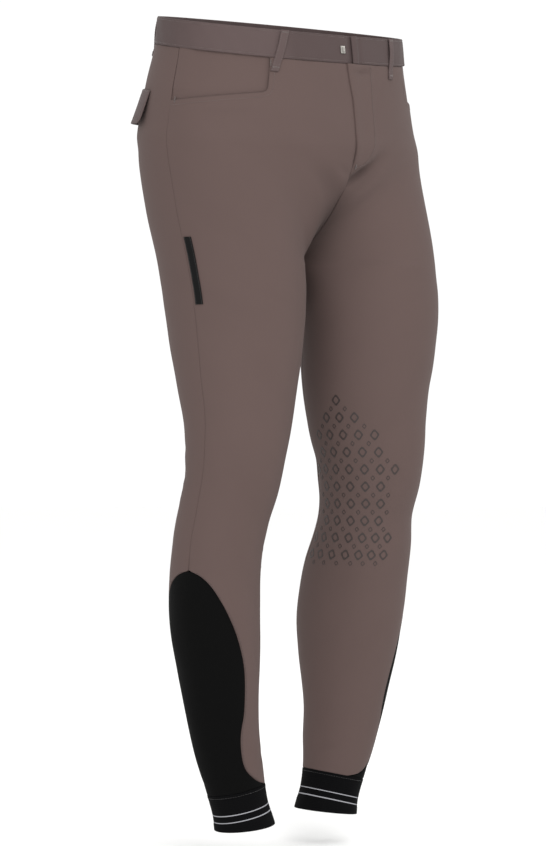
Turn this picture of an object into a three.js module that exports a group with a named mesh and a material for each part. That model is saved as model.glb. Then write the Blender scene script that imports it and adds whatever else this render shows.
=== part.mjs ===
// Men's riding breeches, worn with no wearer: a hollow garment of cloth walls in a slight stride.
// Millimetres. +Z is up and the front faces -Y, so the wearer's left is +X.
// The origin is the middle of the waist opening, halfway up the waistband.
import * as THREE from "three";
import { mergeVertices } from "three/addons/utils/BufferGeometryUtils.js";

// Cloth and seam sizes. The skin is the outer face of the leg cloth.
const CLOTH = 1.2;
const SEAM_GAP = 0.3;
const BAND_PROUD = 1.0;
const CUFF_PROUD = 0.6;
const TAPE = 1.0;
const UNDER_LAYER = CLOTH + SEAM_GAP;

// Levels, as drops below the middle of the waistband.
const BAND_TOP = -16;
const BAND_FOOT = 16;
const PANEL_TOP = BAND_FOOT + SEAM_GAP;
const POCKET_CORNER = 57;
const POCKET_SIDE = 78;
const FLAP_TOP = 70;
const FLAP_FOOT = 110;
const FLY_FOOT = 152;
const KNEE = 498;
const SEAT_DROP = 70;
const CROTCH_DROP = 266;
const LABEL_TOP = 241;
const LABEL_FOOT = 319;
const CUFF_TOP = 880;
const HEM = 925;

// The crotch point, where the four leg seams meet, and how far below it the legs stay drawn together.
const CROTCH_X = 0.2;
const CROTCH_Y = 8;
const CROTCH_FADE = 85;
// How square the seat's curve is on its way into the crotch, seen from the side.
const CROTCH_CURVE = { front: 2.4, back: 2.0 };
// How narrow a place near a seam is: a higher power of the cosine is narrower.
const NEAR_SEAM = 6;

// The waist ring is higher at the back and a little higher on the left.
const WAIST_RISE_TO_BACK = 0.18;
const WAIST_RISE_TO_LEFT = 0.045;
const WAIST_TILT = { full: 24, gone: 214 };
const LEG_TILT = { none: 276, full: 376 };

// Half sizes of the hips, at each drop.
const HIPS = [
  { drop: -16, wide: 167, front: 108, back: 119 },
  { drop: 22, wide: 171, front: 112, back: 125 },
  { drop: 64, wide: 180, front: 114, back: 137 },
  { drop: 99, wide: 186, front: 117, back: 145 },
  { drop: 129, wide: 191, front: 120, back: 150 },
  { drop: 266, wide: 181, front: 110, back: 133 },
];
const HIPS_SQUARENESS = { front: 2.25, back: 2.1 };

// Half sizes of one leg, at each drop, before its own fill.
const LEG = [
  { drop: 94, wide: 88, front: 98, back: 112 },
  { drop: 154, wide: 90, front: 98, back: 110 },
  { drop: 204, wide: 88, front: 95, back: 100 },
  { drop: 254, wide: 83.5, front: 90, back: 91 },
  { drop: 314, wide: 80, front: 87, back: 85 },
  { drop: 364, wide: 75, front: 81, back: 79 },
  { drop: 409, wide: 69, front: 73, back: 71 },
  { drop: 454, wide: 61, front: 66, back: 64 },
  { drop: 489, wide: 56, front: 62, back: 60 },
  { drop: 524, wide: 53, front: 58, back: 59 },
  { drop: 560, wide: 50, front: 52, back: 57 },
  { drop: 596, wide: 50, front: 51, back: 59 },
  { drop: 634, wide: 50, front: 50, back: 63 },
  { drop: 669, wide: 50, front: 50, back: 64 },
  { drop: 704, wide: 49, front: 49, back: 62 },
  { drop: 739, wide: 46, front: 47, back: 56 },
  { drop: 774, wide: 42.5, front: 44, back: 49 },
  { drop: 809, wide: 39.5, front: 41, back: 43 },
  { drop: 844, wide: 36, front: 38, back: 40 },
  { drop: 879, wide: 33, front: 34, back: 35 },
  { drop: 904, wide: 31.5, front: 33, back: 34 },
  { drop: 925, wide: 34, front: 36, back: 37 },
];

// The centre line of each leg, how far its front turns outwards, and how full it is.
const RIGHT_LEG = [
  { drop: 94, x: -92, y: 8, turn: 0, fill: 1 },
  { drop: 204, x: -90, y: 6, turn: 0, fill: 1 },
  { drop: 314, x: -85, y: -2, turn: 0, fill: 1 },
  { drop: 409, x: -89, y: -10, turn: 0, fill: 1 },
  { drop: 454, x: -93, y: -14, turn: 0, fill: 1 },
  { drop: 489, x: -97, y: -14, turn: 1, fill: 1 },
  { drop: 524, x: -99, y: -10, turn: 2, fill: 1 },
  { drop: 560, x: -103, y: -4, turn: 3, fill: 1 },
  { drop: 596, x: -106, y: 2, turn: 4, fill: 1 },
  { drop: 666, x: -108, y: 4, turn: 5, fill: 1 },
  { drop: 736, x: -104, y: 3, turn: 5, fill: 1 },
  { drop: 807, x: -100, y: 0, turn: 5, fill: 1 },
  { drop: 878, x: -89, y: -8, turn: 5, fill: 1 },
  { drop: 925, x: -79, y: -13, turn: 5, fill: 1 },
];
const LEFT_LEG = [
  { drop: 94, x: 96, y: -14, turn: 0, fill: 1.02 },
  { drop: 204, x: 99, y: -27, turn: 3, fill: 1.02 },
  { drop: 314, x: 103, y: -41, turn: 10, fill: 1.03 },
  { drop: 364, x: 100, y: -45, turn: 14, fill: 1.04 },
  { drop: 409, x: 96, y: -46, turn: 18, fill: 1.07 },
  { drop: 454, x: 97, y: -47, turn: 22, fill: 1.1 },
  { drop: 489, x: 100, y: -49, turn: 24, fill: 1.09 },
  { drop: 524, x: 104, y: -46, turn: 25, fill: 1.06 },
  { drop: 560, x: 108, y: -40, turn: 26, fill: 1.04 },
  { drop: 596, x: 113, y: -32, turn: 24, fill: 1.08 },
  { drop: 666, x: 119, y: -14, turn: 20, fill: 1.14 },
  { drop: 736, x: 119, y: -2, turn: 18, fill: 1.16 },
  { drop: 807, x: 112, y: 3, turn: 18, fill: 1.13 },
  { drop: 878, x: 100, y: 8, turn: 19, fill: 1.08 },
  { drop: 925, x: 89, y: 11, turn: 20, fill: 1.04 },
];

// The inner seam's angle round the leg, and the side seam as a share of the way from front edge to back edge.
const SEAMS = [
  { drop: -16, inner: -92, side: 0.51 },
  { drop: 124, inner: -92, side: 0.51 },
  { drop: 266, inner: -92, side: 0.49 },
  { drop: 334, inner: -128, side: 0.585 },
  { drop: 454, inner: -150, side: 0.65 },
  { drop: 634, inner: -156, side: 0.667 },
  { drop: 925, inner: -154, side: 0.66 },
];

// The stretch panel on the outside of the calf, as angles round the leg from its top point to the cuff.
const CALF_TOP = 626;
const CALF = [
  { drop: 626, front: 84, back: 84 },
  { drop: 628, front: 75, back: 93 },
  { drop: 632, front: 64, back: 104 },
  { drop: 640, front: 52, back: 117 },
  { drop: 653, front: 40, back: 130 },
  { drop: 672, front: 27, back: 145 },
  { drop: 700, front: 14, back: 158 },
  { drop: 742, front: 4, back: 168 },
  { drop: 788, front: 5, back: 170 },
  { drop: 820, front: 16, back: 166 },
  { drop: 844, front: 19, back: 164 },
  { drop: 857, front: 15, back: 166 },
  { drop: 867, front: 3, back: 171 },
  { drop: 875, front: -15, back: 180 },
  { drop: 880, front: -40, back: 193 },
];

// Soft folds, from the middle of each: how far down and round it lies, how steeply it rises outwards,
// its half length and half width, and how far it stands out or, below zero, sinks in.
const FOLDS = [
  { side: 1, drop: 150, share: 0.035, rise: 42, length: 34, width: 11, height: -3 },
  { side: 1, drop: 172, share: 0.07, rise: 38, length: 44, width: 13, height: 2 },
  { side: -1, drop: 176, share: 0.05, rise: 48, length: 36, width: 12, height: -2 },
  { side: 1, drop: 245, share: 0.86, rise: 14, length: 60, width: 15, height: -3 },
  { side: -1, drop: 250, share: 0.87, rise: 12, length: 66, width: 14, height: -3 },
  { side: 1, drop: 505, share: 0.86, rise: 10, length: 40, width: 12, height: -3 },
  { side: 1, drop: 535, share: 0.87, rise: -8, length: 34, width: 11, height: -2.5 },
  { side: -1, drop: 512, share: 0.86, rise: 12, length: 42, width: 12, height: -3 },
  { side: -1, drop: 542, share: 0.85, rise: -6, length: 32, width: 11, height: -2.5 },
];
const FOLD_GIRTH = 480;
const FOLD_LEAST_REACH = 30;

// Columns round the hips, as shares from the front edge: some bound the fly, the pocket and the flap.
const FRONT_COLUMNS = [0, 0.035, 0.075, 0.11, 0.15, 0.187, 0.225, 0.28, 0.335, 0.39, 0.44, 0.475, 0.51];
const BACK_COLUMNS = [0.51, 0.56, 0.61, 0.66, 0.7, 0.74, 0.785, 0.83, 0.87, 0.915, 0.96, 1];
const BAND_COLUMNS = [...FRONT_COLUMNS, ...BACK_COLUMNS.slice(1)];
const FRONT_LAST = FRONT_COLUMNS.length - 1;
const BACK_LAST = BACK_COLUMNS.length - 1;
const CALF_COLUMNS = 10;
const FLY_COLUMN = 2;
const POCKET_COLUMN = 6;
const FLAP_FIRST = 2;
const FLAP_LAST = 8;
const HOOK = { drop: 1, share: 0.019, width: 5, height: 9, thick: 1.2 };
const HALF_WAIST = 440;
const LABEL_WIDTH = 10;
const LABEL_TO_SEAM = 3;

// Below the flap the columns of a panel become even, from one drop to the other.
const EVEN_FROM = FLAP_FOOT;
const EVEN_TO = 206;

// Rows down the garment.
const BAND_ROWS = [BAND_TOP, -8, 0, 8, BAND_FOOT];
const UPPER_ROWS = [PANEL_TOP, 26, 40, POCKET_CORNER, 90, 110, 130, FLY_FOOT];
const THIGH_ROWS = [177, 202, 223, LABEL_TOP, 255, CROTCH_DROP, 274, 287, 302, LABEL_FOOT];
const KNEE_ROWS = [342, 367, 393, 420, 446, 472, KNEE, 524, 550, 576, 602];
const PANEL_ROWS = [...UPPER_ROWS, ...THIGH_ROWS, ...KNEE_ROWS, ...CALF.map((row) => row.drop)];
const FLAP_ROWS = [FLAP_TOP, 90, FLAP_FOOT];
const CUFF_ROWS = [CUFF_TOP + SEAM_GAP, 895, 910, HEM];
const LOOP_ROWS = [...BAND_ROWS, 23, 32];
const CUFF_COLUMNS = 24;
const CALF_ROWS = [CALF_TOP + 1.2, ...CALF.slice(1).map((row) => row.drop)];
const rowOf = (drop) => PANEL_ROWS.indexOf(drop);

// A leg panel is one piece of cloth. Its solid is parted by a hairline at the crotch and the knee, so that
// the collision pieces of each length follow its own bend and leave the leg hollow.
const LENGTHS = [
  { length: "hip", top: PANEL_TOP, foot: CROTCH_DROP },
  { length: "thigh", top: CROTCH_DROP, foot: KNEE },
  { length: "calf", top: KNEE, foot: CUFF_TOP },
];

function lengthRows({ top, foot }) {
  const first = top === PANEL_TOP ? top : top + SEAM_GAP / 2;
  const last = foot === CUFF_TOP ? foot : foot - SEAM_GAP / 2;
  return [first, ...PANEL_ROWS.filter((drop) => drop > top && drop < foot), last];
}

const clamp = (value, low, high) => Math.min(high, Math.max(low, value));
const clamp01 = (t) => clamp(t, 0, 1);
const mix = (a, b, t) => a + (b - a) * t;
const rad = (degrees) => (degrees * Math.PI) / 180;
const signedPower = (value, power) => Math.sign(value) * Math.pow(Math.abs(value), power);

// A soft step from 0 at one value to 1 at another.
function ramp(value, from, to) {
  const t = clamp01((value - from) / (to - from));
  return t * t * (3 - 2 * t);
}

// A smooth curve through one column of a table, read at a drop.
function read(table, name, drop) {
  const last = table.length - 1;
  if (drop <= table[0].drop) return table[0][name];
  if (drop >= table[last].drop) return table[last][name];
  let i = 0;
  while (table[i + 1].drop < drop) i += 1;
  const slope = (k) => {
    const a = table[Math.max(0, k - 1)];
    const b = table[Math.min(last, k + 1)];
    return (b[name] - a[name]) / (b.drop - a.drop);
  };
  const span = table[i + 1].drop - table[i].drop;
  const t = (drop - table[i].drop) / span;
  const t2 = t * t;
  const t3 = t2 * t;
  return (
    (2 * t3 - 3 * t2 + 1) * table[i][name] +
    (t3 - 2 * t2 + t) * span * slope(i) +
    (3 * t2 - 2 * t3) * table[i + 1][name] +
    (t3 - t2) * span * slope(i + 1)
  );
}

const poseOf = (side) => (side > 0 ? LEFT_LEG : RIGHT_LEG);

// A point of one leg's oval at a drop, at an angle from its front: outwards is positive.
function legOval(side, drop, angle) {
  const pose = poseOf(side);
  const turn = side * rad(read(pose, "turn", drop));
  const fill = read(pose, "fill", drop);
  const depth = Math.cos(rad(angle)) > 0 ? "front" : "back";
  const across = side * Math.sin(rad(angle)) * read(LEG, "wide", drop) * fill;
  const ahead = Math.cos(rad(angle)) * read(LEG, depth, drop) * fill;
  return {
    x: read(pose, "x", drop) + across * Math.cos(turn) + ahead * Math.sin(turn),
    y: read(pose, "y", drop) + across * Math.sin(turn) - ahead * Math.cos(turn),
  };
}

// One leg's loop at a drop, drawn in to the crotch point near its inner seam.
function legLoop(side, drop, share) {
  const inner = read(SEAMS, "inner", drop);
  const p = legOval(side, drop, inner + 360 * share);
  const pull = Math.pow(1 - clamp01((drop - CROTCH_DROP) / CROTCH_FADE), 2);
  if (pull === 0) return p;
  const seam = legOval(side, drop, inner);
  const near = Math.pow(Math.max(0, Math.cos(2 * Math.PI * share)), NEAR_SEAM);
  return {
    x: p.x + pull * near * (side * CROTCH_X - seam.x),
    y: p.y + pull * near * (CROTCH_Y - seam.y),
  };
}

// How far the folds move the cloth out of its smooth ring.
function foldHeight(side, drop, share) {
  return FOLDS.filter((fold) => fold.side === side).reduce((sum, fold) => {
    const round = (share - fold.share) * FOLD_GIRTH;
    const down = drop - fold.drop;
    const rise = rad(fold.rise);
    const along = (round * Math.cos(rise) - down * Math.sin(rise)) / fold.length;
    const across = (round * Math.sin(rise) + down * Math.cos(rise)) / fold.width;
    return sum + fold.height * Math.exp(-along * along - across * across);
  }, 0);
}

// Half of the hips' ring at a drop, from its front edge to its back edge.
function hipsHalf(side, drop, share) {
  const turn = Math.PI * share;
  const depth = Math.cos(turn) > 0 ? "front" : "back";
  const power = 2 / HIPS_SQUARENESS[depth];
  return {
    x: side * read(HIPS, "wide", drop) * signedPower(Math.sin(turn), power),
    y: -read(HIPS, depth, drop) * signedPower(Math.cos(turn), power),
  };
}

// The ring of one half of the garment: hips above, closing round the leg at the crotch.
function ringPoint(side, drop, share) {
  if (drop >= CROTCH_DROP) return legLoop(side, drop, share);
  const down = clamp01((drop - SEAT_DROP) / (CROTCH_DROP - SEAT_DROP));
  const hips = hipsHalf(side, drop, share);
  if (down === 0) return hips;
  const leg = legLoop(side, drop, share);
  const curve = mix(CROTCH_CURVE.front, CROTCH_CURVE.back, share);
  const rise = 1 - Math.sqrt(Math.max(0, 1 - Math.pow(down, curve)));
  const atCentre = Math.pow(Math.abs(Math.cos(Math.PI * share)), NEAR_SEAM);
  const closed = mix(ramp(down, 0, 1), rise, atCentre);
  return { x: mix(hips.x, leg.x, closed), y: mix(hips.y, leg.y, closed) };
}

// How much higher a point lies than its drop says, because the rings are tilted.
function lean(side, x, y, drop) {
  const waist = 1 - ramp(drop, WAIST_TILT.full, WAIST_TILT.gone);
  const leg = ramp(drop, LEG_TILT.none, LEG_TILT.full);
  let up = waist * (WAIST_RISE_TO_BACK * y + WAIST_RISE_TO_LEFT * x);
  if (leg > 0) {
    const pose = poseOf(side);
    const half = 14;
    const run = 2 * half;
    const slopeX = (read(pose, "x", drop + half) - read(pose, "x", drop - half)) / run;
    const slopeY = (read(pose, "y", drop + half) - read(pose, "y", drop - half)) / run;
    const across = slopeX * (x - read(pose, "x", drop));
    const along = slopeY * (y - read(pose, "y", drop));
    up += leg * (across + along);
  }
  return up;
}

// A point of the skin. Past its edges, a hips ring goes on in the other half and a leg ring closes.
function skinPoint(side, drop, share) {
  const past = share < 0 || share > 1;
  const hips = drop <= CROTCH_DROP;
  let inside = share;
  if (past && hips) inside = share < 0 ? -share : 2 - share;
  if (past && !hips) inside = share < 0 ? share + 1 : share - 1;
  const p = ringPoint(side, drop, inside);
  const fromX = p.x - (hips ? 0 : read(poseOf(side), "x", drop));
  const fromY = p.y - (hips ? 0 : read(poseOf(side), "y", drop));
  const swell = foldHeight(side, drop, inside) / Math.max(Math.hypot(fromX, fromY), FOLD_LEAST_REACH);
  const x = (past && hips ? -1 : 1) * (p.x + fromX * swell);
  const y = p.y + fromY * swell;
  return new THREE.Vector3(x, y, -drop + lean(side, x, y, drop));
}

// A point of the skin with the direction out of the cloth there.
function skin(side, drop, share) {
  const stepShare = 0.008;
  const stepDrop = 2;
  const round = skinPoint(side, drop, share + stepShare).sub(skinPoint(side, drop, share - stepShare));
  const down = skinPoint(side, drop + stepDrop, share).sub(skinPoint(side, drop - stepDrop, share));
  const out = down.clone().cross(round).multiplyScalar(side).normalize();
  return { point: skinPoint(side, drop, share), out, side, pace: round.length() / (2 * stepShare) };
}

// The same place moved along its ring by a distance.
function beside(side, drop, share, distance) {
  return skin(side, drop, share + distance / skin(side, drop, share).pace);
}

// The lower edge of the front pocket drops towards the side seam.
function rowDrop(drop, share) {
  if (drop !== POCKET_CORNER) return drop;
  const start = FRONT_COLUMNS[POCKET_COLUMN];
  const end = FRONT_COLUMNS[FRONT_LAST];
  return mix(POCKET_CORNER, POCKET_SIDE, clamp01((share - start) / (end - start)));
}

// How far a cloth edge stops short of its seam line, measured round the ring. A slanting seam takes more.
function seamInset(side, drop, edge) {
  const stepShare = 0.004;
  const leastSine = 0.15;
  const at = clamp(drop, edge.from + 1, edge.to - 1);
  const down = skinPoint(side, at + 1, edge.share(at + 1)).sub(skinPoint(side, at - 1, edge.share(at - 1)));
  const share = edge.share(at);
  const round = skinPoint(side, at, share + stepShare).sub(skinPoint(side, at, share - stepShare));
  const sine = Math.sin(down.angleTo(round));
  return SEAM_GAP / 2 / Math.max(sine, leastSine);
}

// The seam lines down the garment, as shares round each ring.
const FRONT_CENTRE = { from: BAND_TOP, to: HEM, share: () => 0 };
const BACK_CENTRE = { from: BAND_TOP, to: HEM, share: () => 1 };
const SIDE_SEAM = { from: BAND_TOP, to: CALF_TOP, share: (drop) => read(SEAMS, "side", drop) };
const calfShare = (name) => (drop) => (read(CALF, name, drop) - read(SEAMS, "inner", drop)) / 360;
const CALF_FRONT = { from: CALF_TOP, to: CUFF_TOP, share: calfShare("front") };
const CALF_BACK = { from: CALF_TOP, to: CUFF_TOP, share: calfShare("back") };
const outerEdge = (drop, calf) => (drop > CALF_TOP ? calf : SIDE_SEAM);

// A row of skin places between two seam lines, with its ends drawn in from them.
function seamedRow(side, drop, shares, first, last) {
  return shares.map((share, j) => {
    const at = rowDrop(drop, share);
    if (j === 0) return beside(side, at, share, seamInset(side, drop, first));
    if (j === shares.length - 1) return beside(side, at, share, -seamInset(side, drop, last));
    return skin(side, at, share);
  });
}

// A row of the leg front. Over the hips its columns are as listed. Lower down they are even, but for a
// narrow strip along the outer seam.
function frontRow(side, drop) {
  const edge = outerEdge(drop, CALF_FRONT);
  const last = edge.share(drop);
  const lower = ramp(drop, EVEN_FROM, EVEN_TO);
  const { pace } = skin(side, drop, last);
  const strip = FRONT_LAST - 2;
  const stripStart = last - (LABEL_TO_SEAM + LABEL_WIDTH) / pace;
  const shares = FRONT_COLUMNS.map((share, j) => {
    let even = (stripStart * j) / strip;
    if (j === strip + 1) even = last - LABEL_TO_SEAM / pace;
    if (j === FRONT_LAST) even = last;
    return mix(share, even, lower);
  });
  return seamedRow(side, drop, shares, FRONT_CENTRE, edge);
}

// A row of the leg back, with its columns as listed over the hips and even lower down.
function backRow(side, drop) {
  const edge = outerEdge(drop, CALF_BACK);
  const first = edge.share(drop);
  const lower = ramp(drop, EVEN_FROM, EVEN_TO);
  const shares = BACK_COLUMNS.map((share, j) => mix(share, mix(first, 1, j / BACK_LAST), lower));
  return seamedRow(side, drop, shares, edge, BACK_CENTRE);
}

function calfRow(side, drop) {
  const first = CALF_FRONT.share(drop);
  const last = CALF_BACK.share(drop);
  const shares = Array.from({ length: CALF_COLUMNS + 1 }, (_, j) => mix(first, last, j / CALF_COLUMNS));
  return seamedRow(side, drop, shares, CALF_FRONT, CALF_BACK);
}

const frontGrid = (side, rows = PANEL_ROWS) => rows.map((drop) => frontRow(side, drop));
const backGrid = (side, rows = PANEL_ROWS) => rows.map((drop) => backRow(side, drop));
const bandRow = (side, drop) => seamedRow(side, drop, BAND_COLUMNS, FRONT_CENTRE, BACK_CENTRE);

// Part of a grid: rows and columns from one number up to another.
const cut = (grid, row0, row1, column0, column1) =>
  grid.slice(row0, row1 + 1).map((row) => row.slice(column0, column1 + 1));

// A closed wall between two distances out of a grid of skin places. Each keeps to its own side.
function wall(grid, low, high, { closed = false, keep = () => true, split = true, forward = false } = {}) {
  const rows = grid.length;
  const columns = grid[0].length;
  const cells = closed ? columns : columns - 1;
  const levelAt = (level, i, j) => (typeof level === "function" ? level(i, j) : level);
  const corner = (level, i, j) => {
    const place = grid[i][j % columns];
    const p = place.point.clone().addScaledVector(place.out, levelAt(level, i, j));
    if (split) p.x = place.side * Math.max(place.side * p.x, SEAM_GAP / 2);
    return p;
  };
  const kept = (i, j) => {
    const column = closed ? (j + columns) % columns : j;
    return i >= 0 && i < rows - 1 && column >= 0 && column < cells && keep(i, column);
  };
  const position = [];
  const quad = (a, b, c, d) => [a, b, c, a, c, d].forEach((p) => position.push(p.x, p.y, p.z));
  const edge = (i0, j0, i1, j1) =>
    quad(corner(high, i0, j0), corner(low, i0, j0), corner(low, i1, j1), corner(high, i1, j1));
  for (let i = 0; i < rows - 1; i += 1) {
    for (let j = 0; j < cells; j += 1) {
      if (!kept(i, j)) continue;
      quad(corner(high, i, j), corner(high, i + 1, j), corner(high, i + 1, j + 1), corner(high, i, j + 1));
      quad(corner(low, i, j), corner(low, i, j + 1), corner(low, i + 1, j + 1), corner(low, i + 1, j));
      if (!kept(i - 1, j)) edge(i, j + 1, i, j);
      if (!kept(i + 1, j)) edge(i + 1, j, i + 1, j + 1);
      if (!kept(i, j - 1)) edge(i, j, i + 1, j);
      if (!kept(i, j + 1)) edge(i + 1, j + 1, i, j + 1);
    }
  }
  if (grid[0][0].side < 0 && !forward) {
    for (let k = 0; k < position.length; k += 9) {
      const second = position.slice(k + 3, k + 6);
      position.splice(k + 3, 3, ...position.slice(k + 6, k + 9));
      position.splice(k + 6, 3, ...second);
    }
  }
  const geometry = new THREE.BufferGeometry();
  geometry.setAttribute("position", new THREE.Float32BufferAttribute(position, 3));
  return mergeVertices(geometry, 1e-4);
}

const RIGHT = -1;
const LEFT = 1;
const SIDES = [
  { side: RIGHT, name: "right" },
  { side: LEFT, name: "left" },
];

const garment = new THREE.Group();

const taupe = { color: 0x6d5e5b, roughness: 0.72, metalness: 0 };
const taupeTrim = { color: 0x675855, roughness: 0.75, metalness: 0 };
const black = { color: 0x171717, roughness: 0.85, metalness: 0 };
const steel = { color: 0x9a9a9c, roughness: 0.35, metalness: 1 };

function add(name, geometry, look) {
  const mesh = new THREE.Mesh(geometry, new THREE.MeshStandardMaterial(look));
  mesh.name = name;
  garment.add(mesh);
}

// How far the left front stands out at the fly's edge and in the next columns.
const FLY_EDGE = [0.9, 0.7];

// Leg fronts, with the pocket mouth left out of the upper outer corner. The left one ends in the fly's edge.
function addFront({ side, name }) {
  LENGTHS.forEach((part) => {
    const upper = part.top === PANEL_TOP;
    const isCloth = (i, j) => !upper || i >= rowOf(POCKET_CORNER) || j < POCKET_COLUMN;
    const proud = (i, j) => (upper && side === LEFT && i <= rowOf(FLY_FOOT) ? FLY_EDGE[j] || 0 : 0);
    const grid = frontGrid(side, lengthRows(part));
    add(`front_${name}_${part.length}`, wall(grid, -CLOTH, proud, { keep: isCloth }), taupe);
  });
}

function addBack({ side, name }) {
  LENGTHS.forEach((part) => {
    add(`back_${name}_${part.length}`, wall(backGrid(side, lengthRows(part)), -CLOTH, 0), taupe);
  });
}

// The cloth inside the front pocket mouth, which goes on under the leg front all round the mouth.
function addHipFacing({ side, name }) {
  const grid = frontGrid(side);
  const facing = cut(grid, 0, rowOf(POCKET_CORNER) + 1, POCKET_COLUMN - 1, FRONT_LAST);
  add("hip_facing_" + name, wall(facing, -UNDER_LAYER - TAPE, -UNDER_LAYER), taupe);
}

// The underlap behind the fly's edge.
function addFlyShield() {
  const grid = cut(frontGrid(LEFT), 0, rowOf(FLY_FOOT), 0, FLY_COLUMN);
  add("fly_shield", wall(grid, -UNDER_LAYER - TAPE, -UNDER_LAYER), taupe);
}

// The black stretch panel on the outside of a calf.
function addCalfPanel({ side, name }) {
  const grid = CALF_ROWS.map((drop) => calfRow(side, drop));
  add("calf_panel_" + name, wall(grid, -CLOTH, 0), black);
}

function addCuff({ side, name }) {
  const shares = Array.from({ length: CUFF_COLUMNS }, (_, j) => j / CUFF_COLUMNS);
  const grid = CUFF_ROWS.map((drop) => shares.map((share) => skin(side, drop, share)));
  add("cuff_" + name, wall(grid, -CLOTH, CUFF_PROUD, { closed: true }), black);
}

// The over half of the waistband ends at the front edge of the fly.
function addLeftBand() {
  const grid = BAND_ROWS.map((drop) => bandRow(LEFT, drop));
  add("waistband_left", wall(grid, -CLOTH, BAND_PROUD), taupeTrim);
}

// The under half steps inwards before the front edge, and goes on behind the over half in two more columns.
const UNDER_STEP_SHARE = 0.016;
const UNDER_SHARES = [0.02, 0.05];

function addRightBand() {
  const stepDown = UNDER_LAYER + BAND_PROUD;
  const grid = BAND_ROWS.map((drop) => [
    ...bandRow(RIGHT, drop).reverse().slice(0, -1),
    skin(RIGHT, drop, UNDER_STEP_SHARE),
    beside(RIGHT, drop, 0, 2 * SEAM_GAP),
    ...UNDER_SHARES.map((share) => skin(LEFT, drop, share)),
  ]);
  const level = (base) => (i, j) => base - (j > BAND_COLUMNS.length - 1 ? stepDown : 0);
  const geometry = wall(grid, level(-CLOTH), level(BAND_PROUD), { split: false, forward: true });
  add("waistband_right", geometry, taupeTrim);
}

// A belt loop stands off the band between its two ends. The lower end is stitched down below the band.
const LOOP_STANDING = [1.3, 2.3, 2.7, 2.3, 1.3, 0.3, 0.3];
const LOOP_CLOTH = 1.2;
const LOOP_WIDTH = 10;
// Where each loop starts at the band's top and ends below it, as shares round the ring.
const FRONT_LOOPS = { right: { top: 0.182, foot: 0.212 }, left: { top: 0.142, foot: 0.125 } };
const SIDE_LOOP = { top: 0.76, foot: 0.745 };
const BACK_LOOP = { top: 1, foot: 1 };

function addLoop(name, side, place, options) {
  const grid = LOOP_ROWS.map((drop) => {
    const down = (drop - BAND_TOP) / (LOOP_ROWS[LOOP_ROWS.length - 1] - BAND_TOP);
    const share = mix(place.top, place.foot, down);
    return [-0.5, 0.5].map((half) => beside(side, drop, share, half * LOOP_WIDTH));
  });
  const low = (i) => LOOP_STANDING[i];
  const high = (i) => LOOP_STANDING[i] + LOOP_CLOTH;
  add("belt_loop_" + name, wall(grid, low, high, options), taupeTrim);
}

function addLoops({ side, name }) {
  addLoop("front_" + name, side, FRONT_LOOPS[name]);
  addLoop("side_" + name, side, SIDE_LOOP);
}

// A back pocket flap is sewn down at its top and stands off at its lower edge.
const FLAP_STANDING = [0.3, 3.4, 7];
const FLAP_CLOTH = 2;

function addFlap({ side, name }) {
  const shares = BACK_COLUMNS.slice(FLAP_FIRST, FLAP_LAST + 1);
  const grid = FLAP_ROWS.map((drop) => shares.map((share) => skin(side, drop, share)));
  const low = (i) => FLAP_STANDING[i];
  const high = (i) => FLAP_STANDING[i] + FLAP_CLOTH;
  add("back_pocket_flap_" + name, wall(grid, low, high), taupeTrim);
}

// The tape on the right thigh, in the strip of the leg front along the side seam.
function addSideLabel() {
  const grid = frontGrid(RIGHT);
  const tape = cut(grid, rowOf(LABEL_TOP), rowOf(LABEL_FOOT), FRONT_LAST - 2, FRONT_LAST - 1);
  add("side_label", wall(tape, SEAM_GAP, SEAM_GAP + TAPE), black);
}

// The hook bar lies on the under half of the band, beside the edge of the over half.
function addHook() {
  const shares = [HOOK.share, HOOK.share + HOOK.width / HALF_WAIST];
  const rows = [HOOK.drop - HOOK.height / 2, HOOK.drop + HOOK.height / 2];
  const grid = rows.map((drop) => shares.map((share) => skin(RIGHT, drop, share)));
  const level = BAND_PROUD + SEAM_GAP;
  add("waist_hook", wall(grid, level, level + HOOK.thick), steel);
}

SIDES.forEach(addFront);
SIDES.forEach(addBack);
SIDES.forEach(addHipFacing);
addFlyShield();
SIDES.forEach(addCalfPanel);
SIDES.forEach(addCuff);
addLeftBand();
addRightBand();
SIDES.forEach(addLoops);
addLoop("back", LEFT, BACK_LOOP, { split: false });
SIDES.forEach(addFlap);
addSideLabel();
addHook();

export default garment;
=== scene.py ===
# Men's riding breeches, worn with no wearer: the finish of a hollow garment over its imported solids.
# Tables and places are in millimetres. A drop is how far a place lies below the middle of the waistband,
# and a share is how far round one half of the garment it lies, from its front edge (0) to its back edge (1).
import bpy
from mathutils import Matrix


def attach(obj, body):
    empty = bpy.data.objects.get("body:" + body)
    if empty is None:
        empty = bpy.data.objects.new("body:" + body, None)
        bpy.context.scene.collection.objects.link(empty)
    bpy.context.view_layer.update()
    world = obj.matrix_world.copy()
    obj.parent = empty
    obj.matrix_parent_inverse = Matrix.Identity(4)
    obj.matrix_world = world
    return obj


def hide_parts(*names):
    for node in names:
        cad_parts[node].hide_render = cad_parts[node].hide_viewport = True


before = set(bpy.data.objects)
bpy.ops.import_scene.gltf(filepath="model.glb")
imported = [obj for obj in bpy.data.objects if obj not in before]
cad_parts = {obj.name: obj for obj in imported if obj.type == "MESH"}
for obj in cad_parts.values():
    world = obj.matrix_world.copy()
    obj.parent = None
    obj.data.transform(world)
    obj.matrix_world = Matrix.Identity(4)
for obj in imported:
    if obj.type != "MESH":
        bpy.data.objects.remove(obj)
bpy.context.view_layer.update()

import math

import bpy
import numpy as np
from bpy.props import FloatProperty, FloatVectorProperty, PointerProperty
from mathutils import Vector

bl_info = {
    "name": "Riding breeches",
    "version": (1, 0, 0),
    "blender": (4, 5, 0),
    "location": "3D View > Sidebar > Breeches",
    "description": "Dresses the packed solids of a pair of riding breeches",
    "category": "Object",
}

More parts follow.
